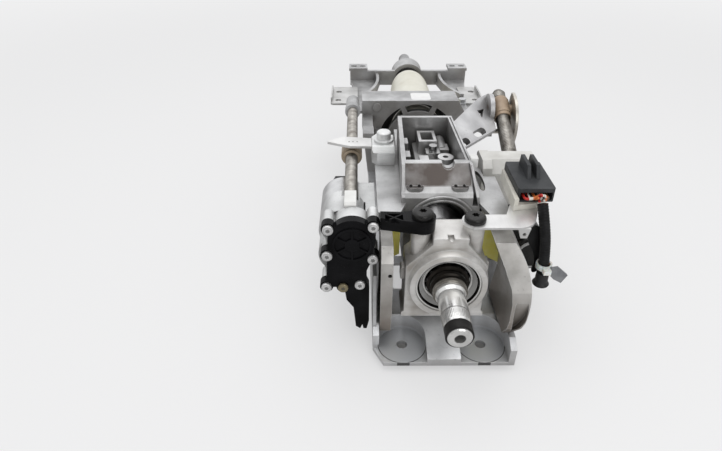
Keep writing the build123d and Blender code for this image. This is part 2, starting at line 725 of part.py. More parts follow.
# Boot: a moulded cone over the lower shaft, from a flange on the pivot frame through the bracket's arch
with BuildPart() as boot:
    shoulder = ARCH_T - 9
    with BuildSketch(OUTPUT):
        with BuildLine():
            Line((BOOT_START, BOOT_WIDE - BOOT_WALL), (BOOT_START, BOOT_WIDE))
            Spline(
                (BOOT_START, BOOT_WIDE),
                (BOOT_START + 55, BOOT_WIDE - 0.5),
                (shoulder - 35, BOOT_WIDE - 3.5),
                (shoulder - 8, BOOT_WIDE - 8),
                (shoulder, BOOT_NARROW),
                tangents=((1, 0), (0.35, -1)),
            )
            Polyline(
                (shoulder, BOOT_NARROW),
                (ARCH_T + 12, BOOT_NARROW),
                (ARCH_T + 26, BOOT_NARROW - 2),
                (ARCH_T + 26, BOOT_NARROW - 2 - BOOT_WALL),
                (ARCH_T + 12, BOOT_NARROW - BOOT_WALL),
                (shoulder - 1, BOOT_NARROW - BOOT_WALL),
            )
            Spline(
                (shoulder - 1, BOOT_NARROW - BOOT_WALL),
                (shoulder - 9.3, BOOT_WIDE - 8 - BOOT_WALL + 0.4),
                (shoulder - 35.4, BOOT_WIDE - 3.5 - BOOT_WALL),
                (BOOT_START + 55, BOOT_WIDE - 0.5 - BOOT_WALL),
                (BOOT_START, BOOT_WIDE - BOOT_WALL),
                tangents=((-0.35, 1), (-1, 0)),
            )
        make_face()
    revolve(axis=Axis(OUTPUT.origin, OUTPUT.x_dir))
    with BuildSketch(front(WALL_Y + WALL)):
        with Locations((0, AXIS_Z + (WALL_Y + WALL - PIVOT_Y) * tan(radians(OUTPUT_RISE)))):
            Circle(BOOT_WIDE + 3)
            Circle(BOOT_WIDE - BOOT_WALL - 0.5, mode=Mode.SUBTRACT)
    extrude(amount=-9)
save(boot, "boot")

# Gaiter: black rubber cone that closes the gap between the wall's arc windows and the boot
with BuildPart() as gaiter:
    gaiter_z = AXIS_Z + (GAITER_END - PIVOT_Y) * tan(radians(OUTPUT_RISE))
    for wall, mode in ((0, Mode.ADD), (GAITER_WALL, Mode.SUBTRACT)):
        with BuildSketch(front(WALL_Y + WALL + SEAT)):
            with Locations((0, AXIS_Z)):
                Circle(GAITER_MOUTH - wall)
        with BuildSketch(front(GAITER_END)):
            with Locations((0, gaiter_z)):
                Circle(BOOT_WIDE + GAITER_GAP + GAITER_WALL - wall)
        loft(mode=mode)
save(gaiter, "gaiter")

# Boot seals: a grommet between the boot and the arch, and the lip ring on the output shaft
with BuildPart() as boot_seals:
    with BuildSketch(OUTPUT):
        with Locations((ARCH_T + 3, (BOOT_NARROW + ARCH_RADIUS) / 2)):
            Rectangle(16, ARCH_RADIUS - BOOT_NARROW - 2 * SEAT)
    revolve(axis=Axis(OUTPUT.origin, OUTPUT.x_dir))
    with BuildSketch(OUTPUT):
        with BuildLine():
            Polyline(
                (ARCH_T + 26 + SEAT, OUTPUT_RADIUS + RUNNING),
                (ARCH_T + 40, OUTPUT_RADIUS + RUNNING),
                (ARCH_T + 40, BOOT_NARROW - 5),
                (ARCH_T + 32, BOOT_NARROW - 1),
                (ARCH_T + 26 + SEAT, BOOT_NARROW - 1),
                close=True,
            )
        make_face()
    revolve(axis=Axis(OUTPUT.origin, OUTPUT.x_dir))
save(boot_seals, "boot_seals")

# Lock box: its side walls draw together towards the back, and its front slopes down to a ledge
with BuildPart() as lock_box:
    with BuildSketch(Plane.XY.offset(JACKET_TOP - 6)):
        with BuildLine():
            Polyline(
                (box_left(JACKET_FRONT), JACKET_FRONT),
                (box_right(JACKET_FRONT), JACKET_FRONT),
                (BOX_FAR_RIGHT, BOX_BACK),
                (BOX_FAR_LEFT, BOX_BACK),
                close=True,
            )
        make_face()
    extrude(amount=BOX_TOP - JACKET_TOP + 6)
    with BuildSketch(side(2 * BOX_LEFT)):
        with BuildLine():
            Polyline(
                (JACKET_FRONT, JACKET_TOP - 6),
                (JACKET_FRONT, MOUTH_TOP + 4),
                (JACKET_FRONT + 2, MOUTH_TOP + 8),
                (JACKET_FRONT + 8, MOUTH_TOP + 12),
                (BOX_FRONT, BOX_TOP),
                (BOX_BACK, BOX_TOP),
                (BOX_BACK, JACKET_TOP - 6),
                close=True,
            )
        make_face()
    extrude(amount=2 * (BOX_RIGHT - BOX_LEFT), mode=Mode.INTERSECT)

# Mouth ribs: two fins from the box's front corners down to the jacket's front face
with BuildPart() as mouth_ribs:
    with BuildSketch(front(JACKET_FRONT)):
        for top_x, foot_x in ((BOX_LEFT + MOUTH_RIB, BOX_LEFT + MOUTH_RIB), (BOX_RIGHT, BOX_RIGHT + 8)):
            with BuildLine():
                Polyline(
                    (top_x, BOX_TOP),
                    (foot_x, WING_Z - WING),
                    (foot_x - MOUTH_RIB, WING_Z - WING),
                    (top_x - MOUTH_RIB, BOX_TOP),
                    close=True,
                )
            make_face()
    extrude(amount=-(BOX_FRONT - JACKET_FRONT + 2))
    with BuildSketch(side(2 * BOX_LEFT)):
        with BuildLine():
            Polyline(
                (JACKET_FRONT - 1, WING_Z + 4),
                (BOX_FRONT - 3, BOX_TOP + 1),
                (JACKET_FRONT - 1, BOX_TOP + 1),
                close=True,
            )
        make_face()
    extrude(amount=2 * (BOX_RIGHT - BOX_LEFT), mode=Mode.SUBTRACT)

# Outer jacket: the tilting casting with its arched mouth, guide bore, lock pocket and wings
with BuildPart() as jacket:
    with BuildSketch(front(JACKET_FRONT)):
        with BuildLine():
            Polyline(
                (-JACKET_HALF + 8, JACKET_BOTTOM),
                (JACKET_HALF - 8, JACKET_BOTTOM),
                (JACKET_HALF, JACKET_BOTTOM + 14),
                (JACKET_HALF, JACKET_TOP),
                (-JACKET_HALF, JACKET_TOP),
                (-JACKET_HALF, JACKET_BOTTOM + 14),
                close=True,
            )
        make_face()
    extrude(amount=-(JACKET_BACK - JACKET_FRONT))
    add(lock_box.part)
    add(mouth_ribs.part)
    pocket_front = BOX_FRONT + BOX_WALL + 1
    pocket_back = BOX_BACK - BOX_WALL
    with BuildSketch(Plane.XY.offset(BOX_TOP)):
        with BuildLine():
            Polyline(
                (box_left(pocket_front) + BOX_WALL, pocket_front),
                (box_right(pocket_front) - BOX_RIGHT_WALL, pocket_front),
                (box_right(pocket_back) - BOX_RIGHT_WALL, pocket_back),
                (box_left(pocket_back) + BOX_WALL, pocket_back),
                close=True,
            )
        make_face()
    extrude(amount=-(BOX_TOP - BOX_FLOOR), mode=Mode.SUBTRACT)
    with BuildSketch(front(BOX_FRONT - 8)):
        with Locations((NOTCH_X, BOX_TOP)):
            Circle(NOTCH_RADIUS)
    extrude(amount=-(BOX_WALL + 12), mode=Mode.SUBTRACT)
    groove_front = BOX_FRONT + 4
    groove_back = BOX_BACK - 4
    with BuildSketch(Plane.XY.offset(BOX_TOP)):
        with BuildLine():
            Polyline(
                (box_right(groove_front) - 3.0, groove_front),
                (box_right(groove_front) - 1.6, groove_front),
                (box_right(groove_back) - 1.6, groove_back),
                (box_right(groove_back) - 3.0, groove_back),
                close=True,
            )
        make_face()
    extrude(amount=-1.2, mode=Mode.SUBTRACT)
    with BuildSketch(front(JACKET_FRONT)):
        with Locations((0, AXIS_Z)):
            Circle(MOUTH_HALF)
        with Locations((0, MOUTH_TOP - MOUTH_HALF)):
            Circle(MOUTH_HALF)
        with Locations((0, (AXIS_Z + MOUTH_TOP - MOUTH_HALF) / 2)):
            Rectangle(2 * MOUTH_HALF, MOUTH_TOP - MOUTH_HALF - AXIS_Z)
    extrude(amount=-MOUTH_DEPTH, mode=Mode.SUBTRACT)
    with BuildSketch(front(JACKET_FRONT + MOUTH_DEPTH)):
        with Locations((0, AXIS_Z)):
            Circle(LINER_RADIUS)
    extrude(amount=-(JACKET_BACK - BEARING_WALL - JACKET_FRONT - MOUTH_DEPTH), mode=Mode.SUBTRACT)
    with BuildSketch(front(JACKET_BACK - BEARING_WALL)):
        with Locations((0, AXIS_Z)):
            Circle(CUP_RADIUS)
    extrude(amount=-BEARING_WALL, mode=Mode.SUBTRACT)
    with BuildSketch(Plane.XY.offset(AXIS_Z)):
        with Locations((0, BOLT_Y)):
            Rectangle(BOLT_WIDE + 2 * LOCK_GAP, BOLT_LONG + 2 * LOCK_GAP)
    extrude(amount=BOX_FLOOR - AXIS_Z + 1, mode=Mode.SUBTRACT)
    with BuildSketch(Plane.XY.offset(MOUTH_TOP + 12)):
        with Locations((-24.2, JACKET_FRONT + 7), (15.0, JACKET_FRONT + 7)):
            RectangleRounded(15, 9, 4.2)
    extrude(amount=-12)
    with BuildSketch(Plane.XY.offset(MOUTH_TOP + 15)):
        with Locations((-27.8, JACKET_FRONT + 7), (-20.6, JACKET_FRONT + 7)):
            Circle(1.7)
        with Locations((11.4, JACKET_FRONT + 7), (18.6, JACKET_FRONT + 7)):
            Circle(1.7)
    extrude(amount=-9, mode=Mode.SUBTRACT)
    for turn in (-1, 1):
        outside = turn * (LEFT_WING_OUT if turn < 0 else RIGHT_WING_OUT)
        start = LEFT_WING_FRONT if turn < 0 else RIGHT_WING_FRONT
        stop = LEFT_WING_BACK if turn < 0 else RIGHT_WING_BACK
        with BuildSketch(Plane.XY.offset(WING_Z)):
            with BuildLine():
                Polyline(
                    (turn * (JACKET_HALF - 1), JACKET_FRONT),
                    (turn * (JACKET_HALF + 5), start),
                    (outside - turn * 3, start),
                    (outside, start + 3),
                    (outside, stop),
                    (turn * (JACKET_HALF - 1), stop),
                    close=True,
                )
            make_face()
            if turn > 0:
                with Locations((JACKET_HALF + 5, stop + 8)):
                    Rectangle(14, 17)
                with Locations((JACKET_HALF + 6.5, stop - 8)):
                    Ellipse(4, 19, mode=Mode.SUBTRACT)
        extrude(amount=-WING)
        with BuildSketch(side(turn * (JACKET_HALF + 4) - 2)):
            with BuildLine():
                Polyline(
                    (JACKET_FRONT, JACKET_TOP - 18),
                    (JACKET_FRONT, WING_Z - WING),
                    (stop, WING_Z - WING),
                    (stop, JACKET_TOP - 18),
                    close=True,
                )
            make_face()
        extrude(amount=4)
        with BuildSketch(front(JACKET_FRONT + 8)):
            with Locations((turn * (JACKET_HALF + 2), JACKET_TOP - 15)):
                Rectangle(8, 6)
        extrude(amount=-(stop - JACKET_FRONT - 16))
        arm_out = FORK_GAP - EAR_GAP
        with BuildSketch(front(JACKET_BACK - 25)):
            with Locations((turn * (JACKET_HALF - 2 + arm_out) / 2, AXIS_Z)):
                Rectangle(arm_out - JACKET_HALF + 2, 2 * EAR_RADIUS)
        extrude(amount=-25)
        with BuildSketch(side(turn * (arm_out - EAR_WALL / 2) - EAR_WALL / 2)):
            with Locations((PIVOT_Y, AXIS_Z)):
                Circle(EAR_RADIUS)
            with Locations(((PIVOT_Y + JACKET_BACK - 25) / 2, AXIS_Z)):
                Rectangle(PIVOT_Y - JACKET_BACK + 25, 2 * EAR_RADIUS)
            with Locations((PIVOT_Y, AXIS_Z)):
                Circle(PIN_RADIUS + RUNNING, mode=Mode.SUBTRACT)
        extrude(amount=EAR_WALL)
    with BuildSketch(Plane.XY.offset(BOX_TOP - 2)):
        with Locations((BOX_LEFT + BOX_WALL + 2.5, 100), (BOX_LEFT + BOX_WALL + 2.5, 128)):
            Rectangle(5.4, 12)
    extrude(amount=-14)
save(jacket, "jacket")

# Guide liners: two plain sleeves in the jacket that the inner tube slides in
with BuildPart() as guide_liners:
    for y in (JACKET_FRONT + MOUTH_DEPTH, JACKET_BACK - BEARING_WALL - LINER_LENGTH - 30):
        with BuildSketch(front(y)):
            with Locations((0, AXIS_Z)):
                Circle(LINER_RADIUS - SEAT)
                Circle(TUBE_BORE, mode=Mode.SUBTRACT)
        extrude(amount=-LINER_LENGTH)
save(guide_liners, "guide_liners")

# Slide guides: yellow-green plastic pads on the jacket's front corners that run along the cheeks
with BuildPart() as slide_guides:
    for turn in (-1, 1):
        with BuildSketch(front(CHEEK_BACK + 2)):
            with BuildLine():
                Polyline(
                    (turn * (JACKET_HALF + 3.5), JACKET_TOP - 12),
                    (turn * (LEFT_CHEEK_IN + 7), JACKET_TOP - 18),
                    (turn * (LEFT_CHEEK_IN + 10), AXIS_Z - 18),
                    (turn * (JACKET_HALF + 3.5), AXIS_Z - 8),
                    close=True,
                )
            make_face()
        extrude(amount=-(JACKET_FRONT - CHEEK_BACK - 2))
save(slide_guides, "slide_guides")

# Lock carrier: the cast insert in the pocket, with a square window and a round boss
with BuildPart() as lock_carrier:
    with BuildSketch(Plane.XY.offset(BOX_FLOOR)):
        with Locations((0, 145)):
            RectangleRounded(34, 66, 4)
        with Locations((0, BOLT_Y)):
            Rectangle(14 + 2 * LOCK_GAP, 12 + 2 * LOCK_GAP, mode=Mode.SUBTRACT)
    extrude(amount=16)
    with BuildSketch(Plane.XY.offset(BOX_FLOOR + 16)):
        with Locations((-4, 163)):
            Rectangle(18, 26)
            Rectangle(12, 19, mode=Mode.SUBTRACT)
    extrude(amount=14)
    with BuildSketch(Plane.XY.offset(BOX_FLOOR + 16)):
        with Locations((10, 122)):
            Circle(7.5)
            Circle(2.6, mode=Mode.SUBTRACT)
    extrude(amount=11)
    with BuildSketch(Plane.XY.offset(BOX_FLOOR + 16)):
        with Locations((-10, 124), (12, 150)):
            Rectangle(9, 14)
    extrude(amount=8)
    with BuildSketch(Plane.XY.offset(BOX_FLOOR + 10)):
        with Locations((-4, 163)):
            Rectangle(12, 19)
    extrude(amount=6, mode=Mode.SUBTRACT)
    with BuildSketch(front(148)):
        with Locations((10.5, BOX_FLOOR + 19)):
            Circle(6)
            Circle(2.2, mode=Mode.SUBTRACT)
    extrude(amount=-27)
save(lock_carrier, "lock_carrier")

# Lock bolt: drops into a slot of the ring on the shaft
with BuildPart() as lock_bolt:
    with BuildSketch(Plane.XY.offset(AXIS_Z + RING_RADIUS + LOCK_GAP * 2)):
        with Locations((0, BOLT_Y)):
            Rectangle(BOLT_WIDE, BOLT_LONG)
    extrude(amount=BOX_FLOOR + BOLT_THROW + 1 - AXIS_Z - RING_RADIUS - LOCK_GAP * 2)
    with BuildSketch(Plane.XY.offset(BOX_FLOOR + BOLT_THROW + 1)):
        with Locations((0, BOLT_Y)):
            Rectangle(14, 12)
    extrude(amount=18)
    with BuildSketch(Plane.XY.offset(BOX_FLOOR + BOLT_THROW + 19)):
        with Locations((0, BOLT_Y)):
            Circle(4)
    extrude(amount=6)
save(lock_bolt, "lock_bolt")

# Nut clamp: the zinc block on the left wing that ties the reach nut to the jacket
with BuildPart() as nut_clamp:
    with BuildSketch(Plane.XY.offset(WING_Z)):
        with BuildLine():
            Polyline(
                (-37.5, CLAMP_FRONT),
                (-37.5, CLAMP_BACK),
                (CLAMP_OUT + 6, CLAMP_BACK + 5),
                (CLAMP_OUT, CLAMP_BACK - 4),
                (CLAMP_OUT, CLAMP_FRONT + 6),
                (CLAMP_OUT + 5, CLAMP_FRONT),
                close=True,
            )
        make_face()
    extrude(amount=CLAMP_TOP - WING_Z)
    with BuildSketch(side(-66)):
        with Locations((CLAMP_FRONT - 1, CLAMP_TOP + 1)):
            Rectangle(16, 8, rotation=-28)
    extrude(amount=30, mode=Mode.SUBTRACT)
    fillet(nut_clamp.faces().sort_by(Axis.Z)[-1].edges(), 1.0)
save(nut_clamp, "nut_clamp")

# Clamp bolt: flange bolt through the clamp
clamp_bolt = turned(
    Plane(origin=(-48, 152, 0), x_dir=(0, 0, 1), z_dir=(0, -1, 0)),
    [
        (CLAMP_TOP, 0),
        (CLAMP_TOP, 9.5),
        (CLAMP_TOP + 2, 9.5),
        (CLAMP_TOP + 2.5, 7),
        (CLAMP_TOP + 9, 7),
        (CLAMP_TOP + 10, 6),
        (CLAMP_TOP + 10, 0),
    ],
)
save(clamp_bolt, "clamp_bolt")

# Nut plate: pointed zinc strip over the spindle, held by the clamp
with BuildPart() as nut_plate:
    with BuildSketch(Plane.XY.offset(CLAMP_TOP - 2.7)):
        with BuildLine():
            Polyline(
                (CLAMP_OUT - SEAT, NUT_Y + 1),
                (CLAMP_OUT - SEAT, NUT_Y - 18),
                (REACH_X - 2, NUT_Y - 17),
                (REACH_X - 24, NUT_Y - 7),
                (REACH_X - 24, NUT_Y - 4),
                (REACH_X - 8, NUT_Y + 5),
                close=True,
            )
        make_face()
    extrude(amount=2.5)
save(nut_plate, "nut_plate")

# Reach nut: runs on the spindle and hangs from the nut plate
with BuildPart() as reach_nut:
    with BuildSketch(front(NUT_Y - NUT_LENGTH / 2)):
        with Locations((REACH_X, REACH_Z)):
            Circle(NUT_RADIUS)
            Circle(REACH_RADIUS + RUNNING, mode=Mode.SUBTRACT)
    extrude(amount=-NUT_LENGTH)
    with BuildSketch(front(NUT_Y - NUT_LENGTH / 2)):
        with Locations((REACH_X, REACH_Z)):
            Circle(NUT_RADIUS - 2)
            Circle(REACH_RADIUS + RUNNING, mode=Mode.SUBTRACT)
    extrude(amount=4)
    with BuildSketch(front(NUT_Y - 6)):
        with Locations((REACH_X, (REACH_Z + CLAMP_TOP - 2.7) / 2 + 4)):
            Rectangle(12, CLAMP_TOP - 2.7 - REACH_Z - 8)
    extrude(amount=-12)
save(reach_nut, "reach_nut")

# Tilt fork: sloping cast arm from the lock box's right wall to the eye round the tilt nut
arm_run = Vector(ARM_END[0] - ARM_START[0], ARM_END[1] - ARM_START[1], 0).normalized()
arm_lean = sin(radians(ARM_SLOPE))
arm_plane = Plane(
    origin=(ARM_START[0], ARM_START[1], ARM_EDGE_Z),
    x_dir=arm_run,
    z_dir=(arm_run.Y * arm_lean, -arm_run.X * arm_lean, cos(radians(ARM_SLOPE))),
)
with BuildPart() as tilt_fork:
    with BuildSketch(arm_plane):
        with BuildLine():
            Polyline(
                (-20, -6.5),
                (58, -6.5),
                (64, 0),
                (90, 24),
                (90, 34),
                (72, 34),
                (0, 21),
                (-20, 21),
                close=True,
            )
        make_face()
        with Locations((3, -1.5)):
            SlotOverall(13, 8, mode=Mode.SUBTRACT)
        with Locations((31, -0.5)):
            SlotOverall(20, 8, mode=Mode.SUBTRACT)
        with BuildLine():
            Polyline((52, 12), (66, 20), (55, 22), close=True)
        make_face(mode=Mode.SUBTRACT)
    extrude(amount=-ARM_THICKNESS)
    with BuildSketch(Plane.XY.offset(BOX_FLOOR)):
        with BuildLine():
            Polyline(
                (BOX_RIGHT, BOX_FRONT),
                (BOX_FAR_RIGHT, BOX_BACK),
                (BOX_FAR_RIGHT, BOX_BACK + 60),
                (BOX_LEFT, BOX_BACK + 60),
                (BOX_LEFT, BOX_FRONT),
                close=True,
            )
        make_face()
        with Locations((TINE_X + TINE + 30, TILT_NUT_Y)):
            Rectangle(60, 120)
    extrude(amount=60, mode=Mode.SUBTRACT)
    with BuildSketch(side(TINE_X)):
        with Locations((TILT_NUT_Y, TILT_NUT_Z)):
            Circle(17)
        with Locations((TILT_NUT_Y - 6, TILT_NUT_Z - 14)):
            Rectangle(22, 20)
    extrude(amount=TINE)
    with BuildSketch(side(TINE_X)):
        with Locations((TILT_NUT_Y, TILT_NUT_Z)):
            Circle(TRUNNION_RADIUS + RUNNING)
    extrude(amount=TINE, mode=Mode.SUBTRACT)
save(tilt_fork, "tilt_fork")

# Fork plate: the outer half of the fork, riveted to the eye with two distance posts
with BuildPart() as fork_plate:
    post_low = (TILT_NUT_Y - 14, TILT_NUT_Z - 19)
    plate_low = (TILT_NUT_Y - 24, TILT_NUT_Z - 27)
    plate_high = (TILT_NUT_Y + 6, TILT_NUT_Z + 17)
    with BuildSketch(side(PLATE_X)):
        with BuildLine():
            ThreePointArc(plate_low, (TILT_NUT_Y - 22, TILT_NUT_Z + 2), plate_high)
            ThreePointArc(plate_high, (TILT_NUT_Y + 9, TILT_NUT_Z - 10), plate_low)
        make_face()
        with Locations((TILT_NUT_Y, TILT_NUT_Z)):
            Circle(TRUNNION_RADIUS + RUNNING, mode=Mode.SUBTRACT)
    extrude(amount=FORK_PLATE)
    with BuildSketch(side(TINE_X + TINE)):
        with Locations(post_low):
            Circle(2.5)
    extrude(amount=TINE_GAP)
save(fork_plate, "fork_plate")

# Lower bearing: carries the lower shaft in the back of the jacket
lower_bearing = tube(COLUMN, JACKET_BACK - BEARING_WALL, JACKET_BACK, CUP_RADIUS - SEAT, LOWER_RADIUS + RUNNING)
save(lower_bearing, "lower_bearing")

# Steering head: the inner casting with the bearing rim, octagonal crown, two bosses and a ridge
with BuildPart() as head_casting:
    with BuildSketch(front(HEAD_FRONT)):
        with BuildLine():
            Polyline(
                (HEAD_LEFT - 2, HEAD_BOTTOM - 1),
                (HEAD_RIGHT + 2, HEAD_BOTTOM - 1),
                (HEAD_RIGHT + 2, HEAD_BOTTOM + 3),
                (HEAD_RIGHT, HEAD_BOTTOM + 5),
                (HEAD_RIGHT, HEAD_CROWN - 27),
                (HEAD_RIGHT - 18, HEAD_CROWN - 6),
                (HEAD_RIGHT - 18, HEAD_CROWN),
                (HEAD_LEFT + 20, HEAD_CROWN),
                (HEAD_LEFT + 20, HEAD_CROWN - 6),
                (HEAD_LEFT, HEAD_CROWN - 27),
                (HEAD_LEFT, HEAD_BOTTOM + 5),
                (HEAD_LEFT - 2, HEAD_BOTTOM + 3),
                close=True,
            )
        make_face()
    extrude(amount=-(HEAD_BACK - HEAD_FRONT))
    with BuildSketch(front(HEAD_FRONT)):
        with Locations((0, AXIS_Z)):
            Circle(RIM_RADIUS + 1.5)
    extrude(amount=HEAD_FRONT - RIM_FRONT, taper=14)
    for x, top in ((RIGHT_SCREW_X, RIGHT_BOSS_TOP), (LEFT_SCREW_X, LEFT_BOSS_TOP)):
        with BuildSketch(Plane.XY.offset(top)):
            with Locations((x, SCREW_Y)):
                Circle(BOSS_RADIUS)
        extrude(amount=-40)
        with BuildSketch(Plane.XY.offset(top)):
            with Locations((x, SCREW_Y)):
                Circle(SCREW_RADIUS + SEAT)
        extrude(amount=-SCREW_DEPTH, mode=Mode.SUBTRACT)
    with BuildSketch(side(-4)):
        with BuildLine():
            Polyline(
                (HEAD_BACK - 6, AXIS_Z + TUBE_RADIUS - 2),
                (HEAD_BACK - 6, HEAD_CROWN - 1),
                (HEAD_BACK + 26, AXIS_Z + TUBE_RADIUS + 4),
                (HEAD_BACK + 26, AXIS_Z + TUBE_RADIUS - 2),
                close=True,
            )
        make_face()
    extrude(amount=7)
    with BuildSketch(front(HEAD_FRONT)):
        with Locations((-1, HEAD_CROWN)):
            Circle(2.5)
    extrude(amount=-6, mode=Mode.SUBTRACT)
    with BuildSketch(front(RIM_FRONT)):
        with Locations((0, AXIS_Z)):
            Circle(SEAT_RADIUS)
    extrude(amount=-(SEAT_DEPTH - RIM_FRONT), mode=Mode.SUBTRACT)
    with BuildSketch(front(SEAT_DEPTH)):
        with Locations((0, AXIS_Z)):
            Circle(TUBE_RADIUS + SEAT)
    extrude(amount=-(HEAD_BACK + 30 - SEAT_DEPTH), mode=Mode.SUBTRACT)
    with BuildSketch(front(HEAD_FRONT + 10)):
        with Locations((HEAD_LEFT - 1, AXIS_Z + 2), (HEAD_RIGHT + 1, AXIS_Z + 8)):
            RectangleRounded(5, 12, 1.5)
    extrude(amount=-8)
save(head_casting, "head_casting")

# Inner tube: steel, pressed into the head, slotted on top for the lock bolt
with BuildPart() as inner_tube:
    with BuildSketch(front(SEAT_DEPTH)):
        with Locations((0, AXIS_Z)):
            Circle(TUBE_RADIUS)
            Circle(TUBE_INSIDE, mode=Mode.SUBTRACT)
    extrude(amount=-(TUBE_END - SEAT_DEPTH))
    with BuildSketch(Plane.XY.offset(AXIS_Z)):
        with Locations((0, BOLT_Y)):
            SlotOverall(68, 12, rotation=90)
    extrude(amount=TUBE_RADIUS + 1, mode=Mode.SUBTRACT)
save(inner_tube, "inner_tube")

# Upper shaft: threaded tip, spline, bearing seat and a two-flat end that slides in the lower shaft
with BuildPart() as upper_shaft:
    with BuildSketch(COLUMN):
        with BuildLine():
            Polyline(
                (SHAFT_TIP, 0),
                (SHAFT_TIP, TIP_RADIUS - 1),
                (SHAFT_TIP + 1, TIP_RADIUS),
                (BAND_FRONT, TIP_RADIUS),
                (BAND_FRONT + BAND_LENGTH, TIP_RADIUS),
                (BAND_FRONT + BAND_LENGTH, SPLINE_RADIUS - 0.8),
                (-44, SPLINE_RADIUS - 0.3),
                (SPLINE_FRONT, SPLINE_RADIUS),
                (SPLINE_FRONT + SPLINE_LENGTH, SPLINE_RADIUS),
                (-15, SEAT_SHAFT_RADIUS),
                (RACE_BACK + 2, SEAT_SHAFT_RADIUS),
                (RACE_BACK + 4, LOWER_RADIUS),
                (BUSH_Y - 30, LOWER_RADIUS),
                (BUSH_Y - 26, MID_RADIUS),
                (BUSH_Y + BUSH_LENGTH + 1, MID_RADIUS),
                (BUSH_Y + BUSH_LENGTH + 1, 0),
                close=True,
            )
        make_face()
    revolve(axis=Axis(COLUMN.origin, COLUMN.x_dir))
    with BuildSketch(front(BUSH_Y + BUSH_LENGTH)):
        with Locations((0, AXIS_Z)):
            Circle(MALE_RADIUS)
            Rectangle(2 * MALE_RADIUS, 2 * MALE_FLAT, mode=Mode.INTERSECT)
    extrude(amount=-(MALE_END - BUSH_Y - BUSH_LENGTH))
    with BuildSketch(front(SHAFT_TIP)):
        with Locations((0, AXIS_Z)):
            Circle(THREAD_RADIUS)
    extrude(amount=-THREAD_DEPTH, mode=Mode.SUBTRACT)
save(upper_shaft, "upper_shaft")

# Shaft band: black rubber ring behind the tip
shaft_band = tube(COLUMN, BAND_FRONT, BAND_FRONT + BAND_LENGTH - 0.3, SPLINE_RADIUS - 0.6, TIP_RADIUS + SEAT)
save(shaft_band, "shaft_band")

# Front bearing: inner ring on the shaft, balls, and the outer ring with its wide flared mouth
with BuildPart() as bearing_inner_ring:
    with BuildSketch(COLUMN):
        with BuildLine():
            Polyline(
                (-12, SEAT_SHAFT_RADIUS + SEAT),
                (-12, 14),
                (-6, 14),
                (-5, 15.5),
                (0, 15.5),
                (1, INNER_RING_RADIUS),
                (RACE_BACK, INNER_RING_RADIUS),
                (RACE_BACK, SEAT_SHAFT_RADIUS + SEAT),
                close=True,
            )
        make_face()
        with Locations((BALL_Y, BALL_CIRCLE)):
            Circle(BALL_RADIUS + 2 * RUNNING, mode=Mode.SUBTRACT)
    revolve(axis=Axis(COLUMN.origin, COLUMN.x_dir))
save(bearing_inner_ring, "bearing_inner_ring")

with BuildPart() as bearing_outer_ring:
    with BuildSketch(COLUMN):
        with BuildLine():
            Polyline(
                (-2.5, SEAT_RADIUS - SEAT),
                (-2.5, SEAT_RADIUS - 2),
                (1, 22.6),
                (3.5, 20.4),
                (RACE_BACK, 20.4),
                (RACE_BACK, SEAT_RADIUS - SEAT),
                close=True,
            )
        make_face()
        with Locations((BALL_Y, BALL_CIRCLE)):
            Circle(BALL_RADIUS + 2 * RUNNING, mode=Mode.SUBTRACT)
    revolve(axis=Axis(COLUMN.origin, COLUMN.x_dir))
save(bearing_outer_ring, "bearing_outer_ring")

with BuildPart() as bearing_balls:
    with Locations(Plane(origin=(0, BALL_Y, AXIS_Z), x_dir=(1, 0, 0), z_dir=(0, -1, 0))):
        with PolarLocations(BALL_CIRCLE, BALL_COUNT):
            Sphere(BALL_RADIUS)
save(bearing_balls, "bearing_balls")

# Tube bush: carries the middle of the upper shaft inside the inner tube
tube_bush = tube(COLUMN, BUSH_Y, BUSH_Y + BUSH_LENGTH, TUBE_INSIDE - SEAT, MID_RADIUS + RUNNING)
save(tube_bush, "tube_bush")

# Lower shaft: two-flat socket, slotted lock ring and a ball with two cross pins
with BuildPart() as lower_shaft:
    with BuildSketch(front(LOWER_START)):
        with Locations((0, AXIS_Z)):
            Circle(LOWER_RADIUS)
    extrude(amount=-(LOWER_BORE_END + 3 - LOWER_START))
    with BuildSketch(front(RING_FRONT)):
        with Locations((0, AXIS_Z)):
            Circle(RING_RADIUS)
            with PolarLocations((RING_RADIUS + RING_FLOOR) / 2 + 2, RING_SLOTS):
                Rectangle(RING_RADIUS - RING_FLOOR + 4, RING_SLOT, mode=Mode.SUBTRACT)
    extrude(amount=-RING_LENGTH)
    with BuildSketch(front(LOWER_START)):
        with Locations((0, AXIS_Z)):
            Circle(MALE_CLEAR)
            Rectangle(2 * MALE_CLEAR, 2 * (MALE_FLAT + RUNNING), mode=Mode.INTERSECT)
    extrude(amount=-(LOWER_BORE_END - LOWER_START), mode=Mode.SUBTRACT)
    with BuildSketch(front(LOWER_BORE_END + 3)):
        with Locations((0, AXIS_Z)):
            Circle(NECK_RADIUS)
    extrude(amount=-(PIVOT_Y - LOWER_BORE_END - 5))
    with Locations((0, PIVOT_Y, AXIS_Z)):
        Sphere(JOINT_BALL)
    with BuildSketch(side(-JOINT_PIN_REACH)):
        with Locations((PIVOT_Y, AXIS_Z)):
            Circle(JOINT_PIN)
    extrude(amount=2 * JOINT_PIN_REACH)
save(lower_shaft, "lower_shaft")

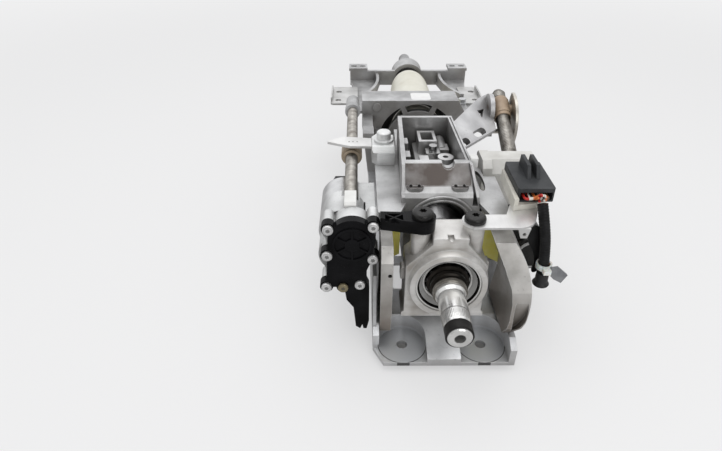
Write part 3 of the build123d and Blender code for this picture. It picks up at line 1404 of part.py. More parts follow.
# Output shaft: cup of the universal joint, plain shaft and a splined end with a clamp groove
with BuildPart() as output_shaft:
    with BuildSketch(OUTPUT):
        with BuildLine():
            Polyline(
                (CUP_FRONT, JOINT_BALL + 0.6),
                (CUP_BACK - 5, JOINT_BALL + 0.6),
                (CUP_BACK - 5, 0),
                (OUTPUT_END, 0),
                (OUTPUT_END, OUTPUT_RADIUS - 1.5),
                (OUTPUT_END - 1, OUTPUT_RADIUS - 0.5),
                (OUTPUT_END - 24, OUTPUT_RADIUS - 0.5),
                (OUTPUT_END - 26, OUTPUT_RADIUS),
                (CUP_BACK, OUTPUT_RADIUS),
                (CUP_BACK - 4, CUP_RADIUS),
                (CUP_FRONT, CUP_RADIUS),
                close=True,
            )
        make_face()
    revolve(axis=Axis(OUTPUT.origin, OUTPUT.x_dir))
    with BuildSketch(Plane(origin=OUTPUT.origin, x_dir=(1, 0, 0), z_dir=OUTPUT.x_dir).offset(CUP_FRONT)):
        Rectangle(2 * CUP_RADIUS + 2, 2 * JOINT_PIN + 1.4)
    extrude(amount=-CUP_FRONT + 8, mode=Mode.SUBTRACT)
save(output_shaft, "output_shaft")


def drive_outline(margin):
    """Outline of the gear drive: its body with one lobe for each screw, grown by the margin."""
    with BuildSketch() as outline:
        with BuildLine():
            Polyline(DRIVE_SCREWS + (), close=True)
        make_face()
        with Locations(*DRIVE_SCREWS):
            Circle(LOBE_RADIUS + margin)
        with Locations((RELIEF[0], RELIEF[1] + 4)):
            Circle(RELIEF_RADIUS + margin)
        with Locations(PLUG):
            Circle(LOBE_RADIUS + margin)
        with Locations((RELIEF[0] - 3, AXIS_Z - 1)):
            Rectangle(30 + 2 * margin, 22 + 2 * margin)
    return outline.sketch


# Reach drive cover: black moulding with a lobe round each screw and a round relief with ribs
with BuildPart() as drive_cover:
    with BuildSketch(front(COVER_Y)):
        add(drive_outline(0))
    extrude(amount=-COVER)
    with BuildSketch(front(COVER_Y)):
        with Locations(RELIEF):
            Circle(RELIEF_RADIUS - 3)
            Circle(RELIEF_RADIUS - 5, mode=Mode.SUBTRACT)
            Circle(6)
        with Locations(RELIEF):
            with PolarLocations(10, 6, start_angle=30):
                Rectangle(9, 1.6)
    extrude(amount=1.2)
    with BuildSketch(front(COVER_Y)):
        with Locations(*DRIVE_SCREWS, PLUG):
            Circle(2.5)
    extrude(amount=-COVER, mode=Mode.SUBTRACT)
save(drive_cover, "drive_cover")

# Cover screws: six zinc pan screws and one plain plug
with BuildPart() as cover_screws:
    with BuildSketch(front(COVER_Y)):
        with Locations(*DRIVE_SCREWS, PLUG):
            Circle(4.4)
    extrude(amount=2.6)
    fillet(cover_screws.faces().filter_by(Axis.Y).sort_by(Axis.Y)[0:7].edges(), 1.0)
    with BuildSketch(front(COVER_Y)):
        with Locations(*DRIVE_SCREWS, PLUG):
            Circle(2.5 - SEAT)
    extrude(amount=-COVER)
save(cover_screws, "cover_screws")

# Drive housing: the grey casting behind the cover
with BuildPart() as drive_housing:
    with BuildSketch(front(COVER_Y + COVER)):
        add(drive_outline(-1.0))
    extrude(amount=-(HOUSING_END - COVER_Y - COVER))
    with BuildSketch(front(HOUSING_END)):
        with Locations((MOTOR_X, MOTOR_Z)):
            Circle(MOTOR_RADIUS - 2)
        with Locations((CASE_X, CASE_Z)):
            Circle(CASE_RADIUS + SEAT, mode=Mode.SUBTRACT)
    extrude(amount=-(MOTOR_START - HOUSING_END))
    with BuildSketch(Plane.XY.offset(SHOULDER_TOP)):
        with BuildLine():
            Polyline(
                (CASE_X + CASE_RADIUS + 0.3, HOUSING_END - 1),
                (CASE_X + CASE_RADIUS + 0.3, CASE_END + 1),
                (CASE_X + CASE_RADIUS - 6, CASE_END + 1),
                (CASE_X + CASE_RADIUS - 6, SHOULDER_END),
                (-LEFT_WING_OUT - 1.5, SHOULDER_END),
                (-LEFT_WING_OUT - 1.5, HOUSING_END - 1),
                close=True,
            )
        make_face()
    extrude(amount=-13)
save(drive_housing, "drive_housing")

# Gear case: silver drum behind the housing
with BuildPart() as gear_case:
    with BuildSketch(front(HOUSING_END)):
        with Locations((CASE_X, CASE_Z)):
            Circle(CASE_RADIUS)
        with Locations((REACH_X, (REACH_Z + BLOCK_TOP) / 2 - 5)):
            Rectangle(BLOCK_WIDE + 2 * SEAT, BLOCK_TOP - REACH_Z + 10 + 2 * SEAT, mode=Mode.SUBTRACT)
    extrude(amount=-(CASE_END - HOUSING_END))
    with BuildSketch(front(BLOCK_END)):
        with Locations((REACH_X, REACH_Z + 4)):
            Rectangle(2 * REACH_RADIUS + 3, 23)
    extrude(amount=-(CASE_END - BLOCK_END), mode=Mode.SUBTRACT)
save(gear_case, "gear_case")

# Spindle block: white bearing block that the reach spindle starts in
with BuildPart() as spindle_block:
    with BuildSketch(front(HOUSING_END)):
        with Locations((REACH_X, (REACH_Z + BLOCK_TOP) / 2 - 5)):
            Rectangle(BLOCK_WIDE, BLOCK_TOP - REACH_Z + 10)
    extrude(amount=-(BLOCK_END - HOUSING_END))
    chamfer(spindle_block.edges().filter_by(Axis.X).group_by(Axis.Z)[-1], 2.0)
    with BuildSketch(front(REACH_START - 1)):
        with Locations((REACH_X, REACH_Z)):
            Circle(REACH_JOURNAL + RUNNING)
    extrude(amount=-(BLOCK_END - REACH_START + 2), mode=Mode.SUBTRACT)
save(spindle_block, "spindle_block")

# Reach motor and its end cap
reach_motor = turned(
    spin_axis(MOTOR_X, MOTOR_Z),
    [
        (MOTOR_START, 0),
        (MOTOR_START, MOTOR_RADIUS - 1),
        (MOTOR_START + 2, MOTOR_RADIUS),
        (MOTOR_END - 3, MOTOR_RADIUS),
        (MOTOR_END, MOTOR_RADIUS - 3),
        (MOTOR_END, 0),
    ],
)
save(reach_motor, "reach_motor")

with BuildPart() as motor_cap:
    with BuildSketch(front(MOTOR_END)):
        with Locations((MOTOR_X, MOTOR_Z)):
            RegularPolygon(MOTOR_RADIUS - 1.5, 6)
    extrude(amount=-CAP_LENGTH, taper=12)
save(motor_cap, "motor_cap")

# Drive tail: black bracket that hangs from the drive, forked at its lower end
with BuildPart() as drive_tail:
    tail_in = -BASE_HALF - 3
    with BuildSketch(front(COVER_Y + COVER + 0.2)):
        with BuildLine():
            Polyline(
                (tail_in - 22, 61),
                (tail_in - 2.5, 66),
                (tail_in, 60),
                (tail_in, TAIL_BOTTOM + 10),
                (tail_in - 2, TAIL_BOTTOM),
                (tail_in - 5, TAIL_BOTTOM),
                (tail_in - 6, TAIL_BOTTOM + 5),
                (tail_in - 8, TAIL_BOTTOM),
                (tail_in - 12, TAIL_BOTTOM + 3),
                (tail_in - 14, TAIL_BOTTOM + 26),
                (tail_in - 20, 46),
                close=True,
            )
        make_face()
        add(drive_outline(-0.9), mode=Mode.SUBTRACT)
    extrude(amount=-10)
save(drive_tail, "drive_tail")

# Mount arm: black ribbed arm from the drive to the left boss of the head
with BuildPart() as mount_arm:
    with BuildSketch(Plane.XY.offset(LEFT_BOSS_TOP)):
        with BuildLine():
            Polyline(
                (ARM_OUT, COVER_Y + 1),
                (LEFT_SCREW_X, SCREW_Y - ARM_RING),
                (LEFT_SCREW_X, SCREW_Y + ARM_RING),
                (-38, SCREW_Y + 6),
                (ARM_OUT, SCREW_Y + 7),
                close=True,
            )
        make_face()
        with Locations((LEFT_SCREW_X, SCREW_Y)):
            Circle(ARM_RING)
            Circle(SCREW_RADIUS + SEAT, mode=Mode.SUBTRACT)
    extrude(amount=ARM_HEIGHT)
    with BuildSketch(Plane.XY.offset(LEFT_SCREW_SEAT)):
        with Locations((-45.5, SCREW_Y - 2)):
            Rectangle(14, 11)
            Rectangle(17, 1.4, rotation=36, mode=Mode.SUBTRACT)
            Rectangle(17, 1.4, rotation=-36, mode=Mode.SUBTRACT)
    extrude(amount=-3, mode=Mode.SUBTRACT)
save(mount_arm, "mount_arm")

# Head screws: two black pan-head screws with a six-lobe socket
with BuildPart() as head_screws:
    for x, seat in ((LEFT_SCREW_X, LEFT_SCREW_SEAT), (RIGHT_SCREW_X, HOLDER_Z)):
        rim = (x + SCREW_HEAD_RADIUS, seat + 2)
        flat = (x + SCREW_HEAD_RADIUS - 3, seat + SCREW_HEAD)
        with BuildSketch(front(SCREW_Y)):
            with BuildLine():
                Polyline(
                    flat,
                    (x, seat + SCREW_HEAD),
                    (x, seat - SCREW_DEPTH),
                    (x + SCREW_RADIUS, seat - SCREW_DEPTH),
                    (x + SCREW_RADIUS, seat),
                    (x + SCREW_HEAD_RADIUS, seat),
                    rim,
                )
                ThreePointArc(rim, (x + SCREW_HEAD_RADIUS - 0.9, seat + SCREW_HEAD - 0.9), flat)
            make_face()
        revolve(axis=Axis((x, SCREW_Y, 0), (0, 0, 1)))
        with BuildSketch(Plane.XY.offset(seat + SCREW_HEAD)):
            with Locations((x, SCREW_Y)):
                Circle(2.2)
                with PolarLocations(2.2, 6):
                    Circle(0.8)
        extrude(amount=-2.5, mode=Mode.SUBTRACT)
save(head_screws, "head_screws")

# Strap bracket: bright steel strip from the right boss, bent round to carry the connector
with BuildPart() as strap_bracket:
    with BuildSketch(Plane.XY.offset(STRAP_Z)):
        with BuildLine():
            Line((RIGHT_SCREW_X - 3, 4), (50, 4))
            ThreePointArc((50, 4), (61, 7.5), (67, 16))
            Polyline((67, 16), (76, CONNECTOR_FRONT + 6), (52, CONNECTOR_FRONT + 6))
            Polyline((52, CONNECTOR_FRONT + 6), (45, 23), (RIGHT_SCREW_X - 3, 23), (RIGHT_SCREW_X - 3, 4))
        make_face()
        with Locations((RIGHT_SCREW_X, SCREW_Y)):
            Circle(10.2)
            Circle(SCREW_RADIUS + SEAT, mode=Mode.SUBTRACT)
    extrude(amount=STRAP)
    with BuildSketch(front(4)):
        with BuildLine():
            Polyline((50, STRAP_Z + 1), (60, STRAP_Z + 1), (58, STRAP_Z - 8), (53, STRAP_Z - 8), close=True)
        make_face()
        with Locations((55.5, STRAP_Z - 4.5)):
            Circle(1.5, mode=Mode.SUBTRACT)
    extrude(amount=-STRAP)
save(strap_bracket, "strap_bracket")

# Connector holder: cream plate and side wall that hug the connector
with BuildPart() as connector_holder:
    with BuildSketch(Plane.XY.offset(HOLDER_Z)):
        with BuildLine():
            Polyline(
                (CONNECTOR_LEFT - 4, CONNECTOR_FRONT - 6),
                (CONNECTOR_RIGHT - 14, CONNECTOR_FRONT - 2),
                (CONNECTOR_RIGHT - 2, CONNECTOR_FRONT + 8),
                (CONNECTOR_RIGHT - 2, CONNECTOR_BACK - 6),
                (CONNECTOR_LEFT - 2, CONNECTOR_BACK - 2),
                close=True,
            )
        make_face()
    extrude(amount=HOLDER)
    with BuildSketch(Plane.XY.offset(CONNECTOR_Z)):
        with BuildLine():
            Polyline(
                (CONNECTOR_LEFT - 4, CONNECTOR_FRONT - 6),
                (CONNECTOR_LEFT - 0.2, CONNECTOR_FRONT - 6),
                (CONNECTOR_LEFT - 0.2, CONNECTOR_BACK - 2),
                (CONNECTOR_LEFT - 2, CONNECTOR_BACK - 2),
                close=True,
            )
        make_face()
    extrude(amount=6)
save(connector_holder, "connector_holder")

# Connector: black housing with two latch fins, open at the front for the wires
with BuildPart() as connector:
    with BuildSketch(Plane.XY.offset(CONNECTOR_Z)):
        with Locations(
            ((CONNECTOR_LEFT + CONNECTOR_RIGHT) / 2, (CONNECTOR_FRONT + CONNECTOR_BACK) / 2),
        ):
            RectangleRounded(CONNECTOR_RIGHT - CONNECTOR_LEFT, CONNECTOR_BACK - CONNECTOR_FRONT, 2)
    extrude(amount=CONNECTOR_TOP - CONNECTOR_Z)
    with BuildSketch(front(CONNECTOR_FRONT)):
        with Locations(((CONNECTOR_LEFT + CONNECTOR_RIGHT) / 2, CONNECTOR_Z + 5)):
            Rectangle(CONNECTOR_RIGHT - CONNECTOR_LEFT - 4, 7)
    extrude(amount=-8, mode=Mode.SUBTRACT)
    for x in (67.5, 75.0):
        with BuildSketch(side(x - 1.5)):
            with BuildLine():
                Polyline(
                    (50, CONNECTOR_TOP),
                    (56, FIN_TOP),
                    (76, FIN_TOP),
                    (78, CONNECTOR_TOP),
                    close=True,
                )
            make_face()
        extrude(amount=3)
save(connector, "connector")

# Connector wires: five short leads from the connector into the harness sleeve
with BuildPart() as connector_wires:
    mouth = HARNESS_ROUTE[0]
    leads = ((60.0, 2.6, 1.6), (64.0, -0.4, 2.9), (68.5, -3.0, 0.6), (73.5, -1.8, -2.4), (79.0, 1.7, -1.9))
    for start_x, right, up in leads:
        goal = (mouth[0] + right, mouth[1] + 2.0, mouth[2] + 2.6 + up)
        bend = ((start_x + goal[0]) / 2, CONNECTOR_FRONT - 3.5, CONNECTOR_Z + 4.6 + up * 0.5)
        start = (start_x, CONNECTOR_FRONT + 8, CONNECTOR_Z + 5)
        lead_out = (start_x, CONNECTOR_FRONT - 1, CONNECTOR_Z + 5)
        with BuildLine() as lead:
            Line(start, lead_out)
            Spline(lead_out, bend, goal, tangents=((0, -1, 0), (0.1, -0.7, -1)))
        with BuildSketch(Plane(origin=start, z_dir=(0, -1, 0))):
            Circle(WIRE_RADIUS)
        sweep(path=lead.line)
save(connector_wires, "connector_wires")


def route_radii(points):
    """Bend radius at each inner point: 0.45 of the shorter run over the tangent of half the turn."""
    radii = []
    for before, here, after in zip(points, points[1:], points[2:]):
        run_in = Vector(*here) - Vector(*before)
        run_out = Vector(*after) - Vector(*here)
        half_turn = radians(run_in.get_angle(run_out)) / 2
        radii.append(0.45 * min(run_in.length, run_out.length) / tan(half_turn))
    return radii


# Harness sleeve: black corrugated tube from the connector down to the plug
harness_radii = route_radii(HARNESS_ROUTE)
print("harness radii", [round(radius, 1) for radius in harness_radii])
with BuildPart() as harness_sleeve:
    with BuildLine() as harness_path:
        FilletPolyline(*HARNESS_ROUTE, radius=harness_radii)
    first_run = Vector(*HARNESS_ROUTE[1]) - Vector(*HARNESS_ROUTE[0])
    with BuildSketch(Plane(origin=HARNESS_ROUTE[0], z_dir=first_run)):
        Circle(HARNESS_RADIUS)
    sweep(path=harness_path.line)
save(harness_sleeve, "harness_sleeve")

# Harness plug: black cup on the lower end of the sleeve
plug_end = HARNESS_ROUTE[-1]
harness_plug = turned(
    Plane(origin=(plug_end[0], plug_end[1], 0), x_dir=(0, 0, 1), z_dir=(0, -1, 0)),
    [
        (plug_end[2] - 0.6, 0),
        (plug_end[2] - 0.6, 5.2),
        (plug_end[2] - 9, 5.4),
        (plug_end[2] - 12, 7.0),
        (plug_end[2] - PLUG_LENGTH, 6.6),
        (plug_end[2] - PLUG_LENGTH, 0),
    ],
)
save(harness_plug, "harness_plug")

# Cable tie: white ring round the sleeve with its lock head and cut tail
with BuildPart() as cable_tie:
    lower, end = HARNESS_ROUTE[2:]
    share = (lower[2] - TIE_Z - 2.2) / (lower[2] - end[2])
    tie_x = lower[0] + share * (end[0] - lower[0])
    tie_y = lower[1] + share * (end[1] - lower[1])
    with BuildSketch(Plane.XY.offset(TIE_Z)):
        with Locations((tie_x, tie_y)):
            Circle(HARNESS_RADIUS + 2.2)
            Circle(HARNESS_RADIUS + 0.6, mode=Mode.SUBTRACT)
        with Locations((tie_x, tie_y - HARNESS_RADIUS - 4)):
            Rectangle(6, 5)
    extrude(amount=4.5)
save(cable_tie, "cable_tie")

# Harness tab: grey clip plate held by the tie
with BuildPart() as harness_tab:
    with BuildSketch(front(tie_y - HARNESS_RADIUS - 4)):
        with BuildLine():
            Polyline(
                (tie_x + 3.3, TIE_Z + 5),
                (tie_x + 9, TIE_Z + 6),
                (tie_x + 18, TIE_Z - 2),
                (tie_x + 14, TIE_Z - 10),
                (tie_x + 7, TIE_Z - 6),
                (tie_x + 3.3, TIE_Z - 2),
                close=True,
            )
        make_face()
    extrude(amount=-2.5)
save(harness_tab, "harness_tab")

# Reach spindle and the sleeve on its far end
reach_spindle = turned(
    spin_axis(REACH_X, REACH_Z),
    [
        (REACH_START, 0),
        (REACH_START, REACH_JOURNAL),
        (BLOCK_END + 0.5, REACH_JOURNAL),
        (BLOCK_END + 0.5, REACH_RADIUS),
        (REACH_END, REACH_RADIUS),
        (REACH_END, 3.5),
        (REACH_END + 20, 3.5),
        (REACH_END + 20, 0),
    ],
)
save(reach_spindle, "reach_spindle")

spindle_sleeve = turned(
    spin_axis(REACH_X, REACH_Z),
    [
        (REACH_END + SEAT, 3.5 + SEAT),
        (REACH_END + 20 + SEAT, 3.5 + SEAT),
        (REACH_END + 20 + SEAT, 0),
        (SLEEVE_END, 0),
        (SLEEVE_END, SLEEVE_RADIUS - 3),
        (SLEEVE_END - 3, SLEEVE_RADIUS - 1),
        (REACH_END + 10, SLEEVE_RADIUS - 1),
        (REACH_END + 9, SLEEVE_RADIUS),
        (REACH_END + SEAT, SLEEVE_RADIUS),
    ],
)
save(spindle_sleeve, "spindle_sleeve")

# Tilt spindle, inclined so that the tilt nut stays on it while the jacket swings
tilt_spindle = turned(
    TILT,
    [
        (-TILT_SPINDLE_FRONT, 0),
        (-TILT_SPINDLE_FRONT, TILT_END_RADIUS),
        (-TILT_SPINDLE_FRONT + 22, TILT_END_RADIUS),
        (-TILT_SPINDLE_FRONT + 24, TILT_RADIUS),
        (TILT_SPINDLE_BACK - 4, TILT_RADIUS),
        (TILT_SPINDLE_BACK - 4, 5),
        (TILT_SPINDLE_BACK, 5),
        (TILT_SPINDLE_BACK, 0),
    ],
)
save(tilt_spindle, "tilt_spindle")

# Tilt nut: beige moulding with a trunnion on each side
with BuildPart() as tilt_nut:
    nut_axis = Axis(TILT.origin, TILT.x_dir)
    with BuildSketch(side(TINE_X + 0.3)):
        with Locations((TILT_NUT_Y, TILT_NUT_Z)):
            Circle(TRUNNION_RADIUS)
    extrude(amount=TINE_GAP + TINE + FORK_PLATE - 0.6)
    with BuildSketch(TILT):
        with BuildLine():
            Polyline(
                (-TILT_NUT_HALF, 0),
                (-TILT_NUT_HALF, TILT_NUT_RADIUS - 0.6),
                (-TILT_NUT_HALF + 4, TILT_NUT_RADIUS - 0.6),
                (-TILT_NUT_HALF + 4, TILT_NUT_RADIUS),
                (TILT_NUT_HALF - 3, TILT_NUT_RADIUS),
                (TILT_NUT_HALF, TILT_NUT_RADIUS - 1),
                (TILT_NUT_HALF, 0),
                close=True,
            )
        make_face()
    revolve(axis=nut_axis)
    with BuildSketch(TILT):
        with Locations((0, (TILT_RADIUS + TILT_CLEARANCE) / 2)):
            Rectangle(2 * TILT_NUT_HALF + 2, TILT_RADIUS + TILT_CLEARANCE)
    revolve(axis=nut_axis, mode=Mode.SUBTRACT)
save(tilt_nut, "tilt_nut")

# Tilt gearbox: pale housing on the right rail, bored for the tilt spindle
with BuildPart() as tilt_gearbox:
    with BuildSketch(side(GEARBOX_LEFT + 8)):
        with BuildLine():
            Polyline(
                (GEARBOX_FRONT, TILT_MOTOR_Z - TILT_MOTOR_RADIUS),
                (GEARBOX_FRONT, GEARBOX_TOP - 12),
                (GEARBOX_FRONT + 8, GEARBOX_TOP),
                (GEARBOX_BACK - 6, GEARBOX_TOP),
                (GEARBOX_BACK, GEARBOX_TOP - 8),
                (GEARBOX_BACK, TILT_MOTOR_Z - TILT_MOTOR_RADIUS),
                close=True,
            )
        make_face()
    extrude(amount=GEARBOX_RIGHT - GEARBOX_LEFT - 8)
    with BuildSketch(side(GEARBOX_LEFT)):
        with BuildLine():
            Polyline(
                (GEARBOX_FRONT, GEARBOX_TOP - 34),
                (GEARBOX_FRONT, GEARBOX_TOP - 6),
                (GEARBOX_FRONT + 6, GEARBOX_TOP),
                (GEARBOX_BACK - 4, GEARBOX_TOP),
                (GEARBOX_BACK, GEARBOX_TOP - 4),
                (GEARBOX_BACK, GEARBOX_TOP - 34),
                close=True,
            )
        make_face()
    extrude(amount=9)
    with BuildSketch(Plane.XY.offset(RAIL_Z)):
        with Locations((BASE_HALF - RAIL_FLANGE / 2, (GEARBOX_FRONT + GEARBOX_BACK) / 2)):
            Rectangle(RAIL_FLANGE, GEARBOX_BACK - GEARBOX_FRONT)
    extrude(amount=GEARBOX_TOP - 30 - RAIL_Z)
    with BuildSketch(TILT):
        with Locations((-TILT_SPINDLE_FRONT + 10, (TILT_END_RADIUS + RUNNING) / 2)):
            Rectangle(22, TILT_END_RADIUS + RUNNING)
    revolve(axis=Axis(TILT.origin, TILT.x_dir), mode=Mode.SUBTRACT)
save(tilt_gearbox, "tilt_gearbox")

# Tilt motor: black can with two raised rings at its front end
tilt_motor = turned(
    spin_axis(TILT_MOTOR_X, TILT_MOTOR_Z),
    [
        (TILT_MOTOR_START, 0),
        (TILT_MOTOR_START, TILT_MOTOR_RADIUS - 3),
        (TILT_MOTOR_START + 2, TILT_MOTOR_RADIUS),
        (TILT_MOTOR_START + 5, TILT_MOTOR_RADIUS),
        (TILT_MOTOR_START + 6, TILT_MOTOR_RADIUS - 2),
        (TILT_MOTOR_START + 8, TILT_MOTOR_RADIUS - 2),
        (TILT_MOTOR_START + 9, TILT_MOTOR_RADIUS),
        (GEARBOX_FRONT, TILT_MOTOR_RADIUS),
        (GEARBOX_FRONT, 0),
    ],
)
save(tilt_motor, "tilt_motor")
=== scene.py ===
"""Steering column with motor-driven tilt and reach, seen along its shaft on a white table."""

import math

import bmesh
import bpy
import numpy as np
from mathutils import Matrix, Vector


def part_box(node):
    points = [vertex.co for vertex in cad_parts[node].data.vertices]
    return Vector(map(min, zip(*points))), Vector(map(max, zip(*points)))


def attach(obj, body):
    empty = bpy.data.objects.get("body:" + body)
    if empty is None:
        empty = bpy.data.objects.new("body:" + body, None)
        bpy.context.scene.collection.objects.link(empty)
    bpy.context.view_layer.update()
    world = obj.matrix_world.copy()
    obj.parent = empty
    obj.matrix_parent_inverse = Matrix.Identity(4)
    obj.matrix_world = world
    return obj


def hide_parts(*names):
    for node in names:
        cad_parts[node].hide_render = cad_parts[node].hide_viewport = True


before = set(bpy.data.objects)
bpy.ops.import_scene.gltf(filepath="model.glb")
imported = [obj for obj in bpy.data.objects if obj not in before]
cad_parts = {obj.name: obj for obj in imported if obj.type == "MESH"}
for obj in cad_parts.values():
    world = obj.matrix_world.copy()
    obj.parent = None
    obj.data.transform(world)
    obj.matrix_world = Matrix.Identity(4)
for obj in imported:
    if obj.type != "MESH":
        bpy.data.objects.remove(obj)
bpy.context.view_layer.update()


# Camera: it stands on the driver's side, a little above the shaft's end, and looks down
# along the column with a wide lens, so the near end shows larger than the far bracket.
lens = bpy.data.cameras.new("camera")
lens.lens = 25.98
lens.sensor_width = 36
lens.clip_start = 0.01
camera = bpy.data.objects.new("camera", lens)
camera.location = (-0.0731, -0.3265, 0.3585)
camera.rotation_euler = (math.radians(56), 0, math.radians(-0.3))
bpy.context.collection.objects.link(camera)
bpy.context.scene.camera = camera
bpy.context.scene.view_settings.view_transform = "Standard"


# Wiring harness: a black ribbed conduit of polypropylene, 9 mm thick, hangs from the connector
# to its plug; its wires enter the connector's underside, and a tie holds it to a small tab.
class Look:
    """A procedural material. Each method adds nodes and returns the socket with their result."""

    def __init__(self, name, metallic=0.0, roughness=0.5):
        self.material = bpy.data.materials.new(name)
        self.material.use_nodes = True
        self.tree = self.material.node_tree
        self.shader = self.tree.nodes["Principled BSDF"]
        self.shader.inputs["Metallic"].default_value = metallic
        self.shader.inputs["Roughness"].default_value = roughness
        self.roughness = roughness
        self.place = self.tree.nodes.new("ShaderNodeTexCoord").outputs["Object"]

    def put(self, socket, value):
        """Links a socket to the one given, or writes a plain value on it."""
        if isinstance(value, bpy.types.NodeSocket):
            self.tree.links.new(value, socket)
        else:
            socket.default_value = value

    def maths(self, kind, first, second=0.0):
        """One step of arithmetic on two numbers."""
        node = self.tree.nodes.new("ShaderNodeMath")
        node.operation = kind
        self.put(node.inputs[0], first)
        self.put(node.inputs[1], second)
        return node.outputs[0]

    def noise(self, scale, detail=3.0, stretch=(1, 1, 1)):
        """Soft random values over the object's own coordinates; scale is features per metre."""
        spread = self.tree.nodes.new("ShaderNodeVectorMath")
        spread.operation = "MULTIPLY"
        self.put(spread.inputs[0], self.place)
        self.put(spread.inputs[1], stretch)
        node = self.tree.nodes.new("ShaderNodeTexNoise")
        self.put(node.inputs["Vector"], spread.outputs[0])
        self.put(node.inputs["Scale"], scale)
        self.put(node.inputs["Detail"], detail)
        return node.outputs["Fac"]

    def axis(self, letter):
        """The object's own X, Y or Z coordinate in metres."""
        node = self.tree.nodes.new("ShaderNodeSeparateXYZ")
        self.put(node.inputs[0], self.place)
        return node.outputs[letter]

    def ramp(self, value, stops, sharp=False):
        """Colour read from stops, each a position and a colour."""
        node = self.tree.nodes.new("ShaderNodeValToRGB")
        node.color_ramp.interpolation = "CONSTANT" if sharp else "LINEAR"
        marks = node.color_ramp.elements
        while len(marks) < len(stops):
            marks.new(0.5)
        for mark, (position, colour) in zip(marks, stops):
            mark.position = position
            mark.color = (*colour, 1.0)
        self.put(node.inputs[0], value)
        return node.outputs[0]

    def blend(self, share, first, second, kind="MIX"):
        """Two colours mixed; share is how much of the second."""
        node = self.tree.nodes.new("ShaderNodeMix")
        node.data_type = "RGBA"
        node.blend_type = kind
        for place, value in ((0, share), (6, first), (7, second)):
            if isinstance(value, tuple):
                value = (*value, 1.0)
            self.put(node.inputs[place], value)
        return node.outputs[2]

    def distance(self, centre, axes="XZ"):
        """Metres from a centre line or point, measured over the axes named."""
        squares = 0.0
        for letter, middle in zip(axes, centre):
            off = self.maths("SUBTRACT", self.axis(letter), middle)
            squares = self.maths("ADD", self.maths("MULTIPLY", off, off), squares)
        return self.maths("SQRT", squares)

    def within(self, value, low, high):
        """1 where the value lies between low and high, else 0."""
        above = self.maths("GREATER_THAN", value, low)
        return self.maths("MULTIPLY", above, self.maths("LESS_THAN", value, high))

    def upright(self):
        """1 on faces that stand upright, 0 on level ones."""
        shape = self.tree.nodes.new("ShaderNodeNewGeometry")
        parts = self.tree.nodes.new("ShaderNodeSeparateXYZ")
        self.put(parts.inputs[0], shape.outputs["Normal"])
        return self.maths("SUBTRACT", 1.0, self.maths("ABSOLUTE", parts.outputs["Z"]))

    def edge_highlight(self, radius):
        """1 along sharp edges, where a bright highlight is painted on."""
        rounding = self.tree.nodes.new("ShaderNodeBevel")
        rounding.samples = 3
        self.put(rounding.inputs["Radius"], radius)
        shape = self.tree.nodes.new("ShaderNodeNewGeometry")
        turned_off = self.tree.nodes.new("ShaderNodeVectorMath")
        turned_off.operation = "DOT_PRODUCT"
        self.put(turned_off.inputs[0], rounding.outputs[0])
        self.put(turned_off.inputs[1], shape.outputs["Normal"])
        share = self.tree.nodes.new("ShaderNodeMapRange")
        self.put(share.inputs["Value"], turned_off.outputs["Value"])
        self.put(share.inputs["From Min"], 0.99)
        self.put(share.inputs["From Max"], 0.90)
        return share.outputs[0]

    def finish(self, colour, relief, strength, corner_shade=0.5, depth=0.0003, edge=0.0006, corner=0.012):
        """Closes the material: painted shade darkening the corners, rounded edges and fine relief."""
        # Base colour is darkened where nearby faces hem the surface in: painted shade, as strong as the share
        # given.
        corners = self.tree.nodes.new("ShaderNodeAmbientOcclusion")
        corners.samples = 8
        self.put(corners.inputs["Distance"], corner)
        painted_corner_shade = self.maths("MULTIPLY", self.maths("SUBTRACT", 1.0, corners.outputs["AO"]), corner_shade)
        self.put(self.shader.inputs["Base Color"], self.blend(painted_corner_shade, colour, (0.10, 0.09, 0.08), "MULTIPLY"))
        play = self.maths("MULTIPLY", self.maths("SUBTRACT", relief, 0.5), 0.25)
        self.put(self.shader.inputs["Roughness"], self.maths("ADD", play, self.roughness))
        rounding = self.tree.nodes.new("ShaderNodeBevel")
        rounding.samples = 3
        self.put(rounding.inputs["Radius"], edge)
        bump = self.tree.nodes.new("ShaderNodeBump")
        self.put(bump.inputs["Strength"], strength)
        self.put(bump.inputs["Distance"], depth)
        self.put(bump.inputs["Height"], relief)
        self.put(bump.inputs["Normal"], rounding.outputs[0])
        self.put(self.shader.inputs["Normal"], bump.outputs[0])
        return self

    def wear(self, *nodes):
        """Gives the material to CAD nodes."""
        for name in nodes:
            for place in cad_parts[name].material_slots:
                place.material = self.material


def skin(name, rings, body, look, loop=False):
    """Closed surface through rings[i, j], the point at step i along it and step j around it.

    A tube has a cap at each end; a loop joins its last ring to its first.
    """
    along, around = rings.shape[:2]
    corner = np.arange(along * around).reshape(along, around)
    ahead = np.roll(corner, -1, axis=1)
    if loop:
        next_corner, next_ahead = np.roll(corner, -1, axis=0), np.roll(ahead, -1, axis=0)
    else:
        corner, ahead, next_corner, next_ahead = corner[:-1], ahead[:-1], corner[1:], ahead[1:]
    quads = np.stack([corner, ahead, next_ahead, next_corner], axis=-1).reshape(-1, 4).tolist()
    if not loop:
        quads += [list(range(around))[::-1], list(range((along - 1) * around, along * around))]
    mesh = bpy.data.meshes.new(name)
    mesh.from_pydata(rings.reshape(-1, 3).tolist(), [], quads)
    shape = bmesh.new()
    shape.from_mesh(mesh)
    bmesh.ops.recalc_face_normals(shape, faces=shape.faces)
    shape.to_mesh(mesh)
    shape.free()
    mesh.materials.append(look.material)
    piece = bpy.data.objects.new(name, mesh)
    bpy.context.collection.objects.link(piece)
    for face in mesh.polygons:
        face.use_smooth = len(face.vertices) == 4
    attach(piece, body)
    return piece


def spaced(points, count, ends=True):
    """Even steps of length along the straight lines between the points, and the places at them."""
    run = np.concatenate([[0], np.cumsum(np.linalg.norm(np.diff(points, axis=0), axis=1))])
    steps = np.linspace(0, run[-1], count, endpoint=ends)
    return steps, np.stack([np.interp(steps, run, column) for column in points.T], axis=1)


